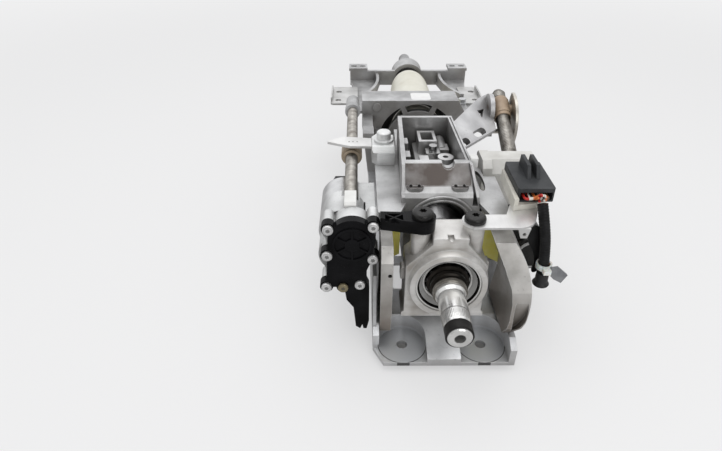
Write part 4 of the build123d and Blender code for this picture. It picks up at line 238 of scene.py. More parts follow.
CONDUIT_ROUTE = [
    (0.0725, 0.024, 0.142), (0.0758, 0.0165, 0.124), (0.079, 0.014, 0.104), (0.081, 0.0125, 0.083),
]
CONDUIT_RADIUS = 0.0044
CONDUIT_PITCH = 0.0024
CONDUIT_RIB = 0.00028

line = bpy.data.curves.new("conduit_line", "CURVE")
line.dimensions = "3D"
line.resolution_u = 24
spline = line.splines.new("NURBS")
spline.points.add(len(CONDUIT_ROUTE) - 1)
for point, place in zip(spline.points, CONDUIT_ROUTE):
    point.co = (*place, 1.0)
spline.order_u = 3
spline.use_endpoint_u = True
guide = bpy.data.objects.new("conduit_line", line)
bpy.context.collection.objects.link(guide)
traced = bpy.data.meshes.new_from_object(guide)
path = np.array([vertex.co for vertex in traced.vertices])
bpy.data.objects.remove(guide)
bpy.data.meshes.remove(traced)

# The tube's radius dips by one rib's depth and comes back once in every pitch along that line.
steps, centre = spaced(path, 160)
run = np.gradient(centre, axis=0)
run /= np.linalg.norm(run, axis=1)[:, None]
across = np.cross(run, (1.0, 0.0, 0.0))
across /= np.linalg.norm(across, axis=1)[:, None]
over = np.cross(run, across)
angle = np.linspace(0, 2 * math.pi, 28, endpoint=False)
radius = CONDUIT_RADIUS - CONDUIT_RIB * (0.5 - 0.5 * np.cos(2 * math.pi * steps / CONDUIT_PITCH))
rings = centre[:, None] + radius[:, None, None] * (
    np.cos(angle)[None, :, None] * across[:, None] + np.sin(angle)[None, :, None] * over[:, None]
)
look = Look("black_conduit", 0.0, 0.42)
patches = look.noise(160, 3)
look.shader.inputs["Specular IOR Level"].default_value = 0.25
colour = look.ramp(patches, [(0.3, (0.004, 0.004, 0.0045)), (0.7, (0.014, 0.014, 0.015))])
look.finish(colour, look.noise(1400, 2), 0.2)
conduit = skin("harness_conduit", rings, "head", look)
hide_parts("harness_sleeve")

look = Look("harness_plug_black", 0.0, 0.38)
patches = look.noise(90, 3)
colour = look.ramp(patches, [(0.3, (0.010, 0.010, 0.011)), (0.7, (0.032, 0.032, 0.034))])
look.finish(colour, look.noise(1800, 2), 0.3)
look.wear("harness_plug")
look = Look("tie_nylon", 0.0, 0.4)
look.shader.inputs["Subsurface Weight"].default_value = 0.15
patches = look.noise(200, 2)
colour = look.ramp(patches, [(0.3, (0.68, 0.68, 0.64)), (0.7, (0.82, 0.82, 0.79))])
look.finish(colour, look.noise(1500, 2), 0.15)
look.wear("cable_tie")
look = Look("tab_grey", 0.0, 0.5)
patches = look.noise(120, 3)
colour = look.ramp(patches, [(0.3, (0.15, 0.155, 0.165)), (0.7, (0.25, 0.255, 0.265))])
look.finish(colour, look.noise(1200, 2), 0.3)
look.wear("harness_tab")


# Harness guard: a thin black nylon moulding that hangs behind the conduit and keeps it off the
# motor; it is clipped to the strap's lug.
GUARD_CORNERS = [
    (0.0665, 0.1228), (0.0720, 0.1229), (0.0765, 0.1190), (0.0800, 0.1110), (0.0830, 0.1010),
    (0.0845, 0.0900), (0.0820, 0.0800), (0.0780, 0.0740), (0.0745, 0.0750), (0.0755, 0.0830),
    (0.0740, 0.0930), (0.0705, 0.1000), (0.0668, 0.1060), (0.0655, 0.1140),
]
GUARD_DEPTHS = [(0.0214, 0.96), (0.0217, 1.0), (0.0231, 1.0), (0.0234, 0.96)]

# The outline runs in X and Z, its corners are softened by averaging neighbours three times, and
# it is repeated at each depth in Y, drawn towards its middle by that depth's share.
_, outline = spaced(np.array(GUARD_CORNERS + GUARD_CORNERS[:1]), 90, ends=False)
for _ in range(3):
    outline = (np.roll(outline, 1, axis=0) + 2 * outline + np.roll(outline, -1, axis=0)) / 4
depth, share = np.array(GUARD_DEPTHS).T
middle = outline.mean(axis=0)
drawn = middle + (outline - middle) * share[:, None, None]
rings = np.stack([drawn[..., 0], np.broadcast_to(depth[:, None], drawn.shape[:2]), drawn[..., 1]], axis=-1)
look = Look("guard_black", 0.0, 0.38)
look.shader.inputs["Specular IOR Level"].default_value = 0.25
patches = look.noise(90, 3)
colour = look.ramp(patches, [(0.3, (0.004, 0.004, 0.004)), (0.7, (0.012, 0.012, 0.013))])
look.finish(colour, look.noise(1300, 2), 0.2)
skin("harness_guard", rings, "head", look)


# Wires: thin PVC-covered leads in red, orange, white and brown run from the conduit into the
# connector, side by side, and are crimped to its contacts.
RED, ORANGE = (0.55, 0.02, 0.015), (0.75, 0.20, 0.05)
WHITE, BROWN = (0.80, 0.78, 0.72), (0.16, 0.07, 0.03)
LEADS = [(0.0, RED), (0.2, WHITE), (0.35, ORANGE), (0.5, RED), (0.62, WHITE), (0.75, ORANGE), (0.88, BROWN)]
look = Look("wire_colours", 0.0, 0.35)
low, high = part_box("connector_wires")
share = look.maths("DIVIDE", look.maths("SUBTRACT", look.axis("X"), low[0]), high[0] - low[0])
colour = look.ramp(share, LEADS, sharp=True)
colour = look.blend(look.maths("MULTIPLY", look.noise(300), 0.25), colour, (0.05, 0.03, 0.02))
look.finish(colour, look.noise(1500, 2), 0.2, corner_shade=0.35)
look.wear("connector_wires")


# Table and light: a matt white sheet under the object, an even white sky, a broad lamp overhead
# and a softer one in front; polished faces mirror a sky that is bright above and dim in front.
SKY_LIGHT, SKY_BEHIND = (0.74, 0.74, 0.74, 1), (0.85, 0.85, 0.855, 1)
MIRRORED_DIM, MIRRORED_BRIGHT = (0.07, 0.065, 0.06, 1), (0.96, 0.96, 0.97, 1)
MIRRORED_BETWEEN = [(0.38, 0.40), (0.62, 0.66)]
sky = bpy.data.worlds.new("sky")
bpy.context.scene.world = sky
sky.use_nodes = True
tree = sky.node_tree
ground = tree.nodes["Background"]
ground.inputs["Strength"].default_value = 1.0
rays = tree.nodes.new("ShaderNodeLightPath")
direction = tree.nodes.new("ShaderNodeTexCoord")
parts = tree.nodes.new("ShaderNodeSeparateXYZ")
tree.links.new(direction.outputs["Generated"], parts.inputs[0])
towards = tree.nodes.new("ShaderNodeMath")
towards.operation = "ADD"
tree.links.new(parts.outputs["Y"], towards.inputs[0])
tree.links.new(parts.outputs["Z"], towards.inputs[1])
scaled = tree.nodes.new("ShaderNodeMapRange")
scaled.inputs["From Min"].default_value = -1.0
scaled.inputs["From Max"].default_value = 1.4
tree.links.new(towards.outputs[0], scaled.inputs["Value"])
height = tree.nodes.new("ShaderNodeValToRGB")
height.color_ramp.elements[0].position = 0.0
height.color_ramp.elements[0].color = MIRRORED_DIM
height.color_ramp.elements[1].position = 0.95
height.color_ramp.elements[1].color = MIRRORED_BRIGHT
for place, level in MIRRORED_BETWEEN:
    middle = height.color_ramp.elements.new(place)
    middle.color = (level, level, level, 1)
tree.links.new(scaled.outputs[0], height.inputs[0])
mirrored = tree.nodes.new("ShaderNodeMix")
mirrored.data_type = "RGBA"
mirrored.inputs[6].default_value = SKY_LIGHT
tree.links.new(rays.outputs["Is Glossy Ray"], mirrored.inputs[0])
tree.links.new(height.outputs[0], mirrored.inputs[7])
seen = tree.nodes.new("ShaderNodeMix")
seen.data_type = "RGBA"
seen.inputs[7].default_value = SKY_BEHIND
tree.links.new(rays.outputs["Is Camera Ray"], seen.inputs[0])
tree.links.new(mirrored.outputs[2], seen.inputs[6])
tree.links.new(seen.outputs[2], ground.inputs["Color"])

# The sheet glows a little, so its shadows stay pale, and turns to plain glow towards its rim, from
# FADE_START to FADE_END metres out; polished faces see it darkened by GREY_SHARE.
TABLE_HALF = 9
TABLE_TOP = -0.0004
SHEET_WHITE, SHEET_GLOW = (0.88, 0.88, 0.885, 1), (0.87, 0.87, 0.875, 1)
FADE_START, FADE_END = 0.7, 2.2
SHEET_GREY, GREY_SHARE = (0.10, 0.095, 0.09, 1), 0.62
sheet_corners = [(x * TABLE_HALF, y * TABLE_HALF, TABLE_TOP) for x, y in ((-1, -1), (1, -1), (1, 1), (-1, 1))]
table_mesh = bpy.data.meshes.new("table")
table_mesh.from_pydata(sheet_corners, [], [(0, 1, 2, 3)])
table = bpy.data.objects.new("table", table_mesh)
bpy.context.collection.objects.link(table)
sheet = bpy.data.materials.new("white_sheet")
sheet.use_nodes = True
tree = sheet.node_tree
tree.nodes.remove(tree.nodes["Principled BSDF"])
matt = tree.nodes.new("ShaderNodeBsdfDiffuse")
matt.inputs["Color"].default_value = SHEET_WHITE
glow = tree.nodes.new("ShaderNodeEmission")
glow.inputs["Color"].default_value = SHEET_GLOW
near = tree.nodes.new("ShaderNodeMixShader")
near.inputs[0].default_value = 0.5
tree.links.new(matt.outputs[0], near.inputs[1])
tree.links.new(glow.outputs[0], near.inputs[2])
where = tree.nodes.new("ShaderNodeTexCoord")
span = tree.nodes.new("ShaderNodeVectorMath")
span.operation = "LENGTH"
tree.links.new(where.outputs["Object"], span.inputs[0])
fade = tree.nodes.new("ShaderNodeMapRange")
fade.interpolation_type = "SMOOTHSTEP"
fade.inputs["From Min"].default_value = FADE_START
fade.inputs["From Max"].default_value = FADE_END
tree.links.new(span.outputs["Value"], fade.inputs["Value"])
far = tree.nodes.new("ShaderNodeMixShader")
tree.links.new(fade.outputs[0], far.inputs[0])
tree.links.new(near.outputs[0], far.inputs[1])
tree.links.new(glow.outputs[0], far.inputs[2])
rays = tree.nodes.new("ShaderNodeLightPath")
dim = tree.nodes.new("ShaderNodeMath")
dim.operation = "MULTIPLY"
dim.inputs[1].default_value = GREY_SHARE
tree.links.new(rays.outputs["Is Glossy Ray"], dim.inputs[0])
grey = tree.nodes.new("ShaderNodeEmission")
grey.inputs["Color"].default_value = SHEET_GREY
both = tree.nodes.new("ShaderNodeMixShader")
tree.links.new(dim.outputs[0], both.inputs[0])
tree.links.new(far.outputs[0], both.inputs[1])
tree.links.new(grey.outputs[0], both.inputs[2])
tree.links.new(both.outputs[0], tree.nodes["Material Output"].inputs["Surface"])
table_mesh.materials.append(sheet)

# Each lamp is a square panel, with its place, its side in metres and its power in watts.
LAMPS = [("lamp_above", (-0.10, 0.25, 1.3), 1.1, 4.0), ("lamp_side", (0.35, -0.95, 0.75), 0.8, 2.7)]
LAMPS_AIM = np.array([0.0, 0.15, 0.08])
for name, place, size, power in LAMPS:
    glow = bpy.data.lights.new(name, "AREA")
    glow.energy = power
    glow.size = size
    lamp = bpy.data.objects.new(name, glow)
    lamp.location = place
    aim = LAMPS_AIM - np.array(place)
    lamp.rotation_euler = (math.atan2(math.hypot(aim[0], aim[1]), -aim[2]), 0, math.atan2(-aim[0], aim[1]))
    bpy.context.collection.objects.link(lamp)


# Console, cheeks, pivot frame and far bracket: aluminium die castings, blasted and left bare,
# bolted together; upright faces are painted brownish, partly casting skin and partly shade, level
# faces stay lighter, and edges carry a painted highlight.
def casting(name, dark, light, skin_and_shade_colour, roughness, nodes, skin_and_shade_share=0.75, marks=lambda look: ()):
    """Bare die-cast aluminium: cloudy grey, brownish on upright faces as casting skin and painted shade, with
    painted edge highlights.
    """
    look = Look(name, 0.62, roughness)
    cloud = look.noise(38, 5)
    colour = look.ramp(cloud, [(0.34, dark), (0.66, light)])
    patch = look.ramp(look.noise(21, 4), [(0.35, (0.2, 0.2, 0.2)), (0.65, (1, 1, 1))])
    # Upright faces take a brownish tone that is partly casting skin and partly painted shade.
    share = look.maths("MULTIPLY", look.maths("MULTIPLY", look.upright(), skin_and_shade_share), patch)
    colour = look.blend(share, colour, skin_and_shade_colour)
    pits = look.ramp(look.noise(420, 3), [(0.26, (0.5, 0.5, 0.5)), (0.36, (1, 1, 1))])
    colour = look.blend(0.4, colour, pits, "MULTIPLY")
    for share, paint in marks(look):
        colour = look.blend(share, colour, paint)
    # Edges get a painted highlight, broken into patches so that it looks worn.
    highlight_patches = look.ramp(look.noise(160, 3), [(0.32, (0.15, 0.15, 0.15)), (0.55, (0.85, 0.85, 0.85))])
    edge_highlight = look.maths("MULTIPLY", look.edge_highlight(0.0009), highlight_patches)
    colour = look.blend(edge_highlight, colour, (0.88, 0.88, 0.885))
    look.finish(colour, look.noise(700, 2), 0.06, corner_shade=0.85, corner=0.02)
    look.wear(*nodes)
    return look


PAD_PLACES = (-0.035, 0.035)
PAD_TOP = 0.013
PAD_RADIUS = 0.0215
PAD_RIM = (0.0209, 0.0217)


def milled_pads(look):
    """Round pads milled bright about the two front bolt holes, each with a dark rim."""
    level = look.maths("LESS_THAN", look.axis("Z"), PAD_TOP)
    paints = []
    for x in PAD_PLACES:
        away = look.distance((x, 0.0), "XY")
        pad, rim = look.within(away, 0.0, PAD_RADIUS), look.within(away, *PAD_RIM)
        paints.append((look.maths("MULTIPLY", level, pad), (0.78, 0.80, 0.83)))
        paints.append((look.maths("MULTIPLY", level, rim), (0.13, 0.13, 0.13)))
    return paints


casting(
    "tray_casting",
    (0.62, 0.63, 0.645),
    (0.90, 0.91, 0.925),
    (0.40, 0.385, 0.37),
    0.35,
    ["console_base"],
    skin_and_shade_share=0.45,
    marks=milled_pads,
)


def shaded_foot(look):
    """The cheeks are painted darker brown towards the bottom as shade: strongly up to about 45 mm, none above
    98 mm.
    """
    height = look.maths("ADD", look.axis("Z"), look.maths("MULTIPLY", look.noise(28, 3), 0.03))
    tall = look.maths("MULTIPLY", height, 10.0)
    share = look.ramp(tall, [(0.45, (0.85, 0.85, 0.85)), (0.98, (0.0, 0.0, 0.0))])
    return [(share, (0.20, 0.165, 0.135))]


casting(
    "cheek_casting",
    (0.44, 0.43, 0.41),
    (0.78, 0.77, 0.75),
    (0.30, 0.27, 0.24),
    0.35,
    ["cheek_left", "cheek_right"],
    skin_and_shade_share=0.4,
    marks=shaded_foot,
)
casting(
    "frame_casting",
    (0.36, 0.36, 0.362),
    (0.64, 0.645, 0.65),
    (0.27, 0.25, 0.23),
    0.38,
    ["pivot_frame", "rear_bracket"],
)


# Sticker: a bare white label of satin paper, 24 mm square and 0.16 mm thick, with rounded corners,
# stuck on the pivot frame's top plate.
def slab(name, centre, half, levels, body, look):
    """Rounded block: each level is a height, and the share of its full size that the block has there.

    X is the half width times the fourth root of the cosine of the angle, with the cosine's sign,
    and Y is the half depth times the fourth root of its sine, with the sine's sign.
    """
    turn = np.linspace(0, 2 * math.pi, 72, endpoint=False)
    x = half[0] * np.sign(np.cos(turn)) * np.abs(np.cos(turn)) ** 0.25
    y = half[1] * np.sign(np.sin(turn)) * np.abs(np.sin(turn)) ** 0.25
    height, share = np.array(levels).T[:, :, None]
    rings = np.stack([centre[0] + x * share, centre[1] + y * share, height + 0 * x], axis=-1)
    return skin(name, rings, body, look)


STICKER_CENTRE = (0.0032, 0.2925)
STICKER_HALF = (0.0119, 0.0118)
STICKER_LEVELS = [(0.13200, 1.0), (0.13212, 1.0), (0.13216, 0.99)]

look = Look("sticker_paper", 0.0, 0.5)
colour = look.ramp(look.noise(120, 3), [(0.3, (0.86, 0.86, 0.855)), (0.7, (0.92, 0.92, 0.915))])
look.finish(colour, look.noise(900, 2), 0.08, corner_shade=0.2, edge=0.0001)
slab("sticker", STICKER_CENTRE, STICKER_HALF, STICKER_LEVELS, "console", look)


# Spacers, pins, bolts and tabs: the first three are turned steel, the tabs zinc-plated sheet. The
# spacers sit under the tray's bolt holes, the pins in the frame's lugs, the rest on its beams.
def turned(name, dark, light, roughness, nodes, stretch=(1, 40, 1), scale=60, metallic=1.0, relief=0.25):
    """Turned or drawn metal: fine rings along the stretched axis and faint stains."""
    look = Look(name, metallic, roughness)
    rings = look.noise(scale, 4, stretch)
    stain = look.noise(75, 3)
    colour = look.ramp(look.blend(0.5, rings, stain), [(0.36, dark), (0.62, light)])
    look.finish(colour, rings, relief, depth=0.00015)
    look.wear(*nodes)


turned("spacer_metal", (0.50, 0.50, 0.50), (0.74, 0.74, 0.73), 0.34, ["mount_spacers"], stretch=(1, 1, 25))
turned("pin_steel", (0.30, 0.30, 0.31), (0.52, 0.52, 0.53), 0.28, ["pivot_pins"], stretch=(25, 1, 1))
turned("bolt_zinc", (0.46, 0.47, 0.48), (0.76, 0.77, 0.78), 0.26, ["frame_bolts"], stretch=(1, 1, 20))


def pressed(name, dark, light, roughness, nodes, stretch=(1, 12, 1)):
    """Zinc-plated sheet: rolling lines, pale clouds and a light grain."""
    look = Look(name, 0.9, roughness)
    rolled = look.noise(130, 4, stretch)
    colour = look.ramp(look.blend(0.75, rolled, look.noise(48, 3)), [(0.30, dark), (0.62, light)])
    look.finish(colour, rolled, 0.07, depth=0.0001)
    look.wear(*nodes)


pressed("tab_zinc", (0.48, 0.48, 0.47), (0.74, 0.74, 0.73), 0.34, ["side_tabs"])


# Boot: a smooth cream sleeve of thermoplastic rubber over the lower joint, pushed into the
# bracket's collar; a black gaiter closes the gap to the wall, and black lips seal both ends.
def moulding(name, dark, light, roughness, nodes, grain=1500, strength=0.25, clouds=60, corner_shade=0.45):
    """Moulded plastic or rubber: spark-eroded grain, faint clouds and painted shade in the corners."""
    look = Look(name, 0.0, roughness)
    look.shader.inputs["Specular IOR Level"].default_value = 0.12 if light[0] < 0.1 else 0.5
    colour = look.ramp(look.noise(clouds, 4), [(0.32, dark), (0.68, light)])
    look.finish(colour, look.noise(grain, 3), strength, corner_shade=corner_shade)
    look.wear(*nodes)


moulding("boot_cream", (0.70, 0.68, 0.58), (0.85, 0.84, 0.76), 0.46, ["boot"], grain=900, clouds=30)
moulding("seal_rubber", (0.012, 0.012, 0.012), (0.035, 0.034, 0.033), 0.62, ["boot_seals"])
GAITER_RIB_PITCH = 0.0028
look = Look("gaiter_rubber", 0.0, 0.6)
wave = look.maths("SINE", look.maths("MULTIPLY", look.axis("Y"), 2 * math.pi / GAITER_RIB_PITCH))
relief = look.maths("ADD", look.maths("MULTIPLY", wave, 0.45), look.maths("MULTIPLY", look.noise(700), 0.2))
colour = look.ramp(look.noise(70, 4), [(0.3, (0.012, 0.012, 0.012)), (0.7, (0.045, 0.044, 0.042))])
look.finish(colour, relief, 0.9, depth=0.0009)
look.wear("gaiter")


# Tilt drive: a white gearbox of glass-filled nylon bolted to the console on the right, and its
# black painted motor with two bright rings, which lies in front of it.
GEARBOX_WHITE = ((0.60, 0.59, 0.56), (0.80, 0.795, 0.77))
moulding("gearbox_white", *GEARBOX_WHITE, 0.44, ["tilt_gearbox"], grain=1100, clouds=45)
MOTOR_AXIS = (0.085, 0.070)
MOTOR_FRONT = 0.0535
MOTOR_BAND = (0.088, 0.092)
MOTOR_RIM = (0.0125, 0.0150)
look = Look("motor_black", 0.3, 0.3)
band = look.within(look.axis("Y"), *MOTOR_BAND)
face = look.maths("LESS_THAN", look.axis("Y"), MOTOR_FRONT)
rim = look.within(look.distance(MOTOR_AXIS), *MOTOR_RIM)
silver = look.maths("MAXIMUM", band, look.maths("MULTIPLY", face, rim))
black = look.ramp(look.noise(90, 4), [(0.3, (0.005, 0.005, 0.005)), (0.7, (0.022, 0.021, 0.02))])
look.finish(look.blend(silver, black, (0.45, 0.45, 0.45)), look.noise(900, 3), 0.15)
look.wear("tilt_motor")


# Adjusting screws: steel spindles with a rolled thread; the reach screw lies on the left beside
# the jacket and turns in the white block, the tilt screw rises on the right from its gearbox.
def screw(name, origin, axis, profile, pitch, depth, body, node, look):
    """Round bar along an axis; profile lists (distance, radius), and the widest run carries a thread.

    The radius there is the bar's own, less the thread's depth times half of one minus the cosine
    of the turns made along the axis minus the angle round it.
    """
    widest = max(radius for _, radius in profile)
    runs = []
    for (start, first), (stop, second) in zip(profile, profile[1:]):
        threaded = first == second == widest
        count = int((stop - start) / pitch * 8) if threaded else 2
        ends = (np.linspace(start, stop, count), np.linspace(first, second, count))
        runs.append(np.stack([*ends, np.full(count, float(threaded))]))
    place, radius, cut = np.concatenate(runs, axis=1)
    angle = np.linspace(0, 2 * math.pi, 30, endpoint=False)
    wave = 0.5 - 0.5 * np.cos(2 * math.pi * place[:, None] / pitch - angle[None, :])
    spread = radius[:, None] - depth * cut[:, None] * wave
    axis = np.array(axis)
    first = np.array((1.0, 0.0, 0.0))
    second = np.cross(axis, first)
    rings = np.array(origin) + place[:, None, None] * axis + spread[..., None] * (
        np.cos(angle)[None, :, None] * first + np.sin(angle)[None, :, None] * second
    )
    piece = skin(name, rings, body, look)
    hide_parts(node)


def screw_steel(name):
    """Oiled steel, stained brown-grey, with painted shade in the thread's root that leaves its crests bright.
    """
    look = Look(name, 1.0, 0.36)
    stain = look.noise(110, 4)
    colour = look.ramp(stain, [(0.34, (0.27, 0.25, 0.225)), (0.66, (0.60, 0.58, 0.54))])
    return look.finish(colour, look.noise(900, 2), 0.12, corner_shade=1.0, edge=0.0002)


REACH_START = (-0.080, 0, 0.122)
REACH_AXIS = (0, 1, 0)
REACH_PROFILE = [
    (0.036, 0.0038), (0.0575, 0.0038), (0.0575, 0.006), (0.268, 0.006), (0.268, 0.0035), (0.288, 0.0035),
]
REACH_PITCH, REACH_DEPTH = 0.0015, 0.00022
PIVOT_Y, PIVOT_Z = 0.244, 0.080
NUT_RISE = 0.066
TILT_LEAN = math.radians(25)
TILT_NUT = (0.082, PIVOT_Y - NUT_RISE * math.tan(TILT_LEAN), PIVOT_Z + NUT_RISE)
TILT_AXIS = (0, math.cos(TILT_LEAN), math.sin(TILT_LEAN))
TILT_PROFILE = [
    (-0.084, 0.005), (-0.062, 0.005), (-0.060, 0.0075), (0.022, 0.0075), (0.022, 0.005), (0.026, 0.005),
]
TILT_PITCH, TILT_DEPTH = 0.002, 0.0005

look = screw_steel("reach_screw_steel")
sizes = (REACH_START, REACH_AXIS, REACH_PROFILE, REACH_PITCH, REACH_DEPTH)
screw("reach_screw", *sizes, "reach_screw", "reach_spindle", look)
look = screw_steel("tilt_screw_steel")
sizes = (TILT_NUT, TILT_AXIS, TILT_PROFILE, TILT_PITCH, TILT_DEPTH)
screw("tilt_screw", *sizes, "tilt_screw", "tilt_spindle", look)


# Tilt nut and fork: a beige nylon nut with two trunnions swings in the eye of an aluminium arm,
# which is bolted to the jacket's box and closed on the outside by a zinc-plated disc.
look = Look("nut_beige", 0.0, 0.4)
colour = look.ramp(look.noise(70, 4), [(0.3, (0.30, 0.21, 0.14)), (0.7, (0.52, 0.40, 0.29))])
look.finish(colour, look.noise(1100, 3), 0.3)
look.wear("tilt_nut")
FORK_ALLOY = ((0.52, 0.52, 0.53), (0.78, 0.78, 0.79), (0.40, 0.385, 0.37))
casting("fork_casting", *FORK_ALLOY, 0.36, ["tilt_fork"], skin_and_shade_share=0.5)
pressed("fork_plate_zinc", (0.44, 0.41, 0.36), (0.72, 0.69, 0.63), 0.33, ["fork_plate"], stretch=(1, 1, 12))


# Jacket: a die casting in aluminium with the lock's open box on top; it hangs on the two pivot
# pins, and its sloping front panel is painted dark brown as shade.
# The box in which the front's painted shade lies.
SHADE_BOX = {"Z": (0.1335, 0.1502), "Y": (0.062, 0.0788), "X": (-0.0325, 0.0250)}


def shaded_front(look):
    """The box's sloping front is painted dark brown between the two corner ribs: painted shade."""
    share = 1.0
    for letter, (low, high) in SHADE_BOX.items():
        share = look.maths("MULTIPLY", share, look.within(look.axis(letter), low, high))
    cloud = look.ramp(look.noise(45, 4), [(0.3, (0.45, 0.45, 0.45)), (0.6, (1, 1, 1))])
    return [(look.maths("MULTIPLY", share, cloud), (0.105, 0.088, 0.080))]


casting(
    "jacket_casting",
    (0.44, 0.44, 0.442),
    (0.72, 0.725, 0.73),
    (0.20, 0.19, 0.18),
    0.34,
    ["jacket"],
    marks=shaded_front,
)


# Lock and guides: the carrier in the box is a smoother casting, screwed down, and holds the sprung
# steel bolt; steel liners and a bearing sit in the jacket, yellow acetal guides on its sides.
LIGHT_ALLOY = ((0.60, 0.60, 0.605), (0.92, 0.92, 0.925), (0.40, 0.395, 0.39))
casting("carrier_casting", *LIGHT_ALLOY, 0.34, ["lock_carrier"], skin_and_shade_share=0.5)
turned("lock_steel", (0.40, 0.40, 0.40), (0.66, 0.66, 0.66), 0.24, ["lock_bolt"], stretch=(1, 1, 30))
turned("liner_steel", (0.10, 0.10, 0.10), (0.2, 0.2, 0.2), 0.3, ["guide_liners", "lower_bearing"])
moulding("guide_yellow", (0.90, 0.80, 0.14), (0.98, 0.92, 0.30), 0.42, ["slide_guides"], clouds=80, corner_shade=0.1)


# Mouth beads: two raised beads of the jacket's own aluminium, cast round its arched mouth on the
# front face.
MOUTH_FACE_Y, MOUTH_Z = 0.0598, 0.0965
BEADS = [("mouth_bead_inner", 0.0272, 0.0009), ("mouth_bead_outer", 0.0308, 0.0011)]
bead_metal = casting("bead_casting", (0.46, 0.46, 0.465), (0.80, 0.805, 0.81), (0.26, 0.25, 0.24), 0.32, [])


def bead(name, radius, thickness):
    """Half ring of round bar standing on the mouth's face.

    X is the distance from the mouth's centre times the cosine of the angle run, and Z is the
    centre's height plus that distance times its sine. The distance is the bead's radius plus its
    thickness times the cosine of the turn round the bar, and Y swings by the turn's sine.
    """
    run = np.radians(np.linspace(12, 168, 80))[:, None]
    turn = np.linspace(0, 2 * math.pi, 14, endpoint=False)
    away = radius + thickness * np.cos(turn)
    face = np.broadcast_to(MOUTH_FACE_Y + thickness * np.sin(turn), (80, 14))
    rings = np.stack([np.cos(run) * away, face, MOUTH_Z + np.sin(run) * away], axis=-1)
    skin(name, rings, "jacket", bead_metal)


for sizes in BEADS:
    bead(*sizes)


# Rim clip: a small moulded block of white nylon, 7 mm by 8 mm, snapped over the right rim of the
# lock's box.
CLIP_CENTRE = (0.0285, 0.0865)
CLIP_HALF = (0.0034, 0.0042)
CLIP_LEVELS = [(0.1430, 0.9), (0.1434, 1.0), (0.1524, 1.0), (0.1528, 0.92)]

look = Look("clip_nylon", 0.0, 0.4)
colour = look.ramp(look.noise(150, 3), [(0.3, (0.74, 0.74, 0.73)), (0.7, (0.86, 0.86, 0.85))])
look.finish(colour, look.noise(1200, 2), 0.12)
slab("rim_clip", CLIP_CENTRE, CLIP_HALF, CLIP_LEVELS, "jacket", look)


# Reach nut and its clamp: a beige nylon nut under a pale zinc-plated plate, held by a bright
# clamp block of plated steel and one bolt on the jacket's left side.
DOT_PLACES = [(-0.0824, 0.1498), (-0.0786, 0.1498), (-0.0744, 0.1498)]
DOT_RADIUS = 0.0008
CLAMP_ZINC = ((0.76, 0.775, 0.775), (0.95, 0.955, 0.955))
CLAMP_NODES = ["nut_clamp", "clamp_bolt"]
turned("clamp_zinc", *CLAMP_ZINC, 0.34, CLAMP_NODES, stretch=(1, 1, 4), scale=90, metallic=0.6)
look = Look("plate_zinc", 0.75, 0.38)
colour = look.ramp(look.noise(60, 3), [(0.3, (0.70, 0.70, 0.69)), (0.6, (0.90, 0.90, 0.89))])
for place in DOT_PLACES:
    colour = look.blend(look.within(look.distance(place, "XY"), 0.0, DOT_RADIUS), colour, (0.12, 0.11, 0.10))
look.finish(colour, look.noise(500, 3), 0.08)
look.wear("nut_plate")
moulding("reach_nut_beige", (0.34, 0.27, 0.19), (0.54, 0.45, 0.34), 0.42, ["reach_nut"])


# Head: the sliding casting of aluminium that carries the front bearing, polished bright by
# machining, with a ground steel tube pressed in that slides in the jacket through a black bush.
SHAFT_AXIS = (0.0, 0.080)
COLLAR_RADIUS = 0.034
look = Look("head_casting_metal", 0.74, 0.335)
cloud = look.noise(26, 4)
colour = look.ramp(cloud, [(0.30, (0.70, 0.68, 0.65)), (0.60, (0.95, 0.94, 0.92))])
turning = look.noise(90, 3, (1, 1, 5))
lines = look.ramp(turning, [(0.4, (0.3, 0.29, 0.27)), (0.6, (1, 1, 1))])
colour = look.blend(0.1, colour, lines, "MULTIPLY")
# Upright sides are painted a darker brown as shade, less of it near the shaft's collar, and the edges carry a
# painted highlight.
patch = look.ramp(look.noise(34, 3), [(0.42, (0.0, 0.0, 0.0)), (0.64, (0.7, 0.7, 0.7))])
collar = look.maths("LESS_THAN", look.distance(SHAFT_AXIS), COLLAR_RADIUS)
collar = look.maths("MULTIPLY", collar, 0.6)
flank_shade = look.maths("MULTIPLY", look.upright(), patch)
flank_shade = look.maths("MULTIPLY", flank_shade, look.maths("SUBTRACT", 1.0, collar))
colour = look.blend(flank_shade, colour, (0.36, 0.32, 0.27))
colour = look.blend(look.edge_highlight(0.0012), colour, (0.94, 0.94, 0.93))
look.finish(colour, turning, 0.03, corner_shade=0.85, edge=0.0014, corner=0.016)
look.wear("head_casting")
turned("tube_ground", (0.34, 0.34, 0.345), (0.58, 0.58, 0.585), 0.22, ["inner_tube"])
moulding("bush_black", (0.02, 0.02, 0.02), (0.05, 0.05, 0.05), 0.45, ["tube_bush"])


# Front bearing: polished rings and balls of bearing steel, the outer ring pressed into the head
# with a groove round its cone painted black as its shade, and the inner ring browned with old grease.
GROOVE_SHADE = (0.0238, 0.0255)
INNER_RING_BACK = -0.0085
look = Look("ring_polished", 0.45, 0.24)
colour = look.ramp(look.noise(60, 3), [(0.3, (0.86, 0.85, 0.82)), (0.65, (0.96, 0.955, 0.94))])
# The groove is painted as a black ring of shade.
groove = look.within(look.distance(SHAFT_AXIS), *GROOVE_SHADE)
colour = look.blend(groove, colour, (0.012, 0.011, 0.010))
look.finish(colour, look.distance(SHAFT_AXIS), 0.02, corner_shade=0.45)
look.wear("bearing_outer_ring")

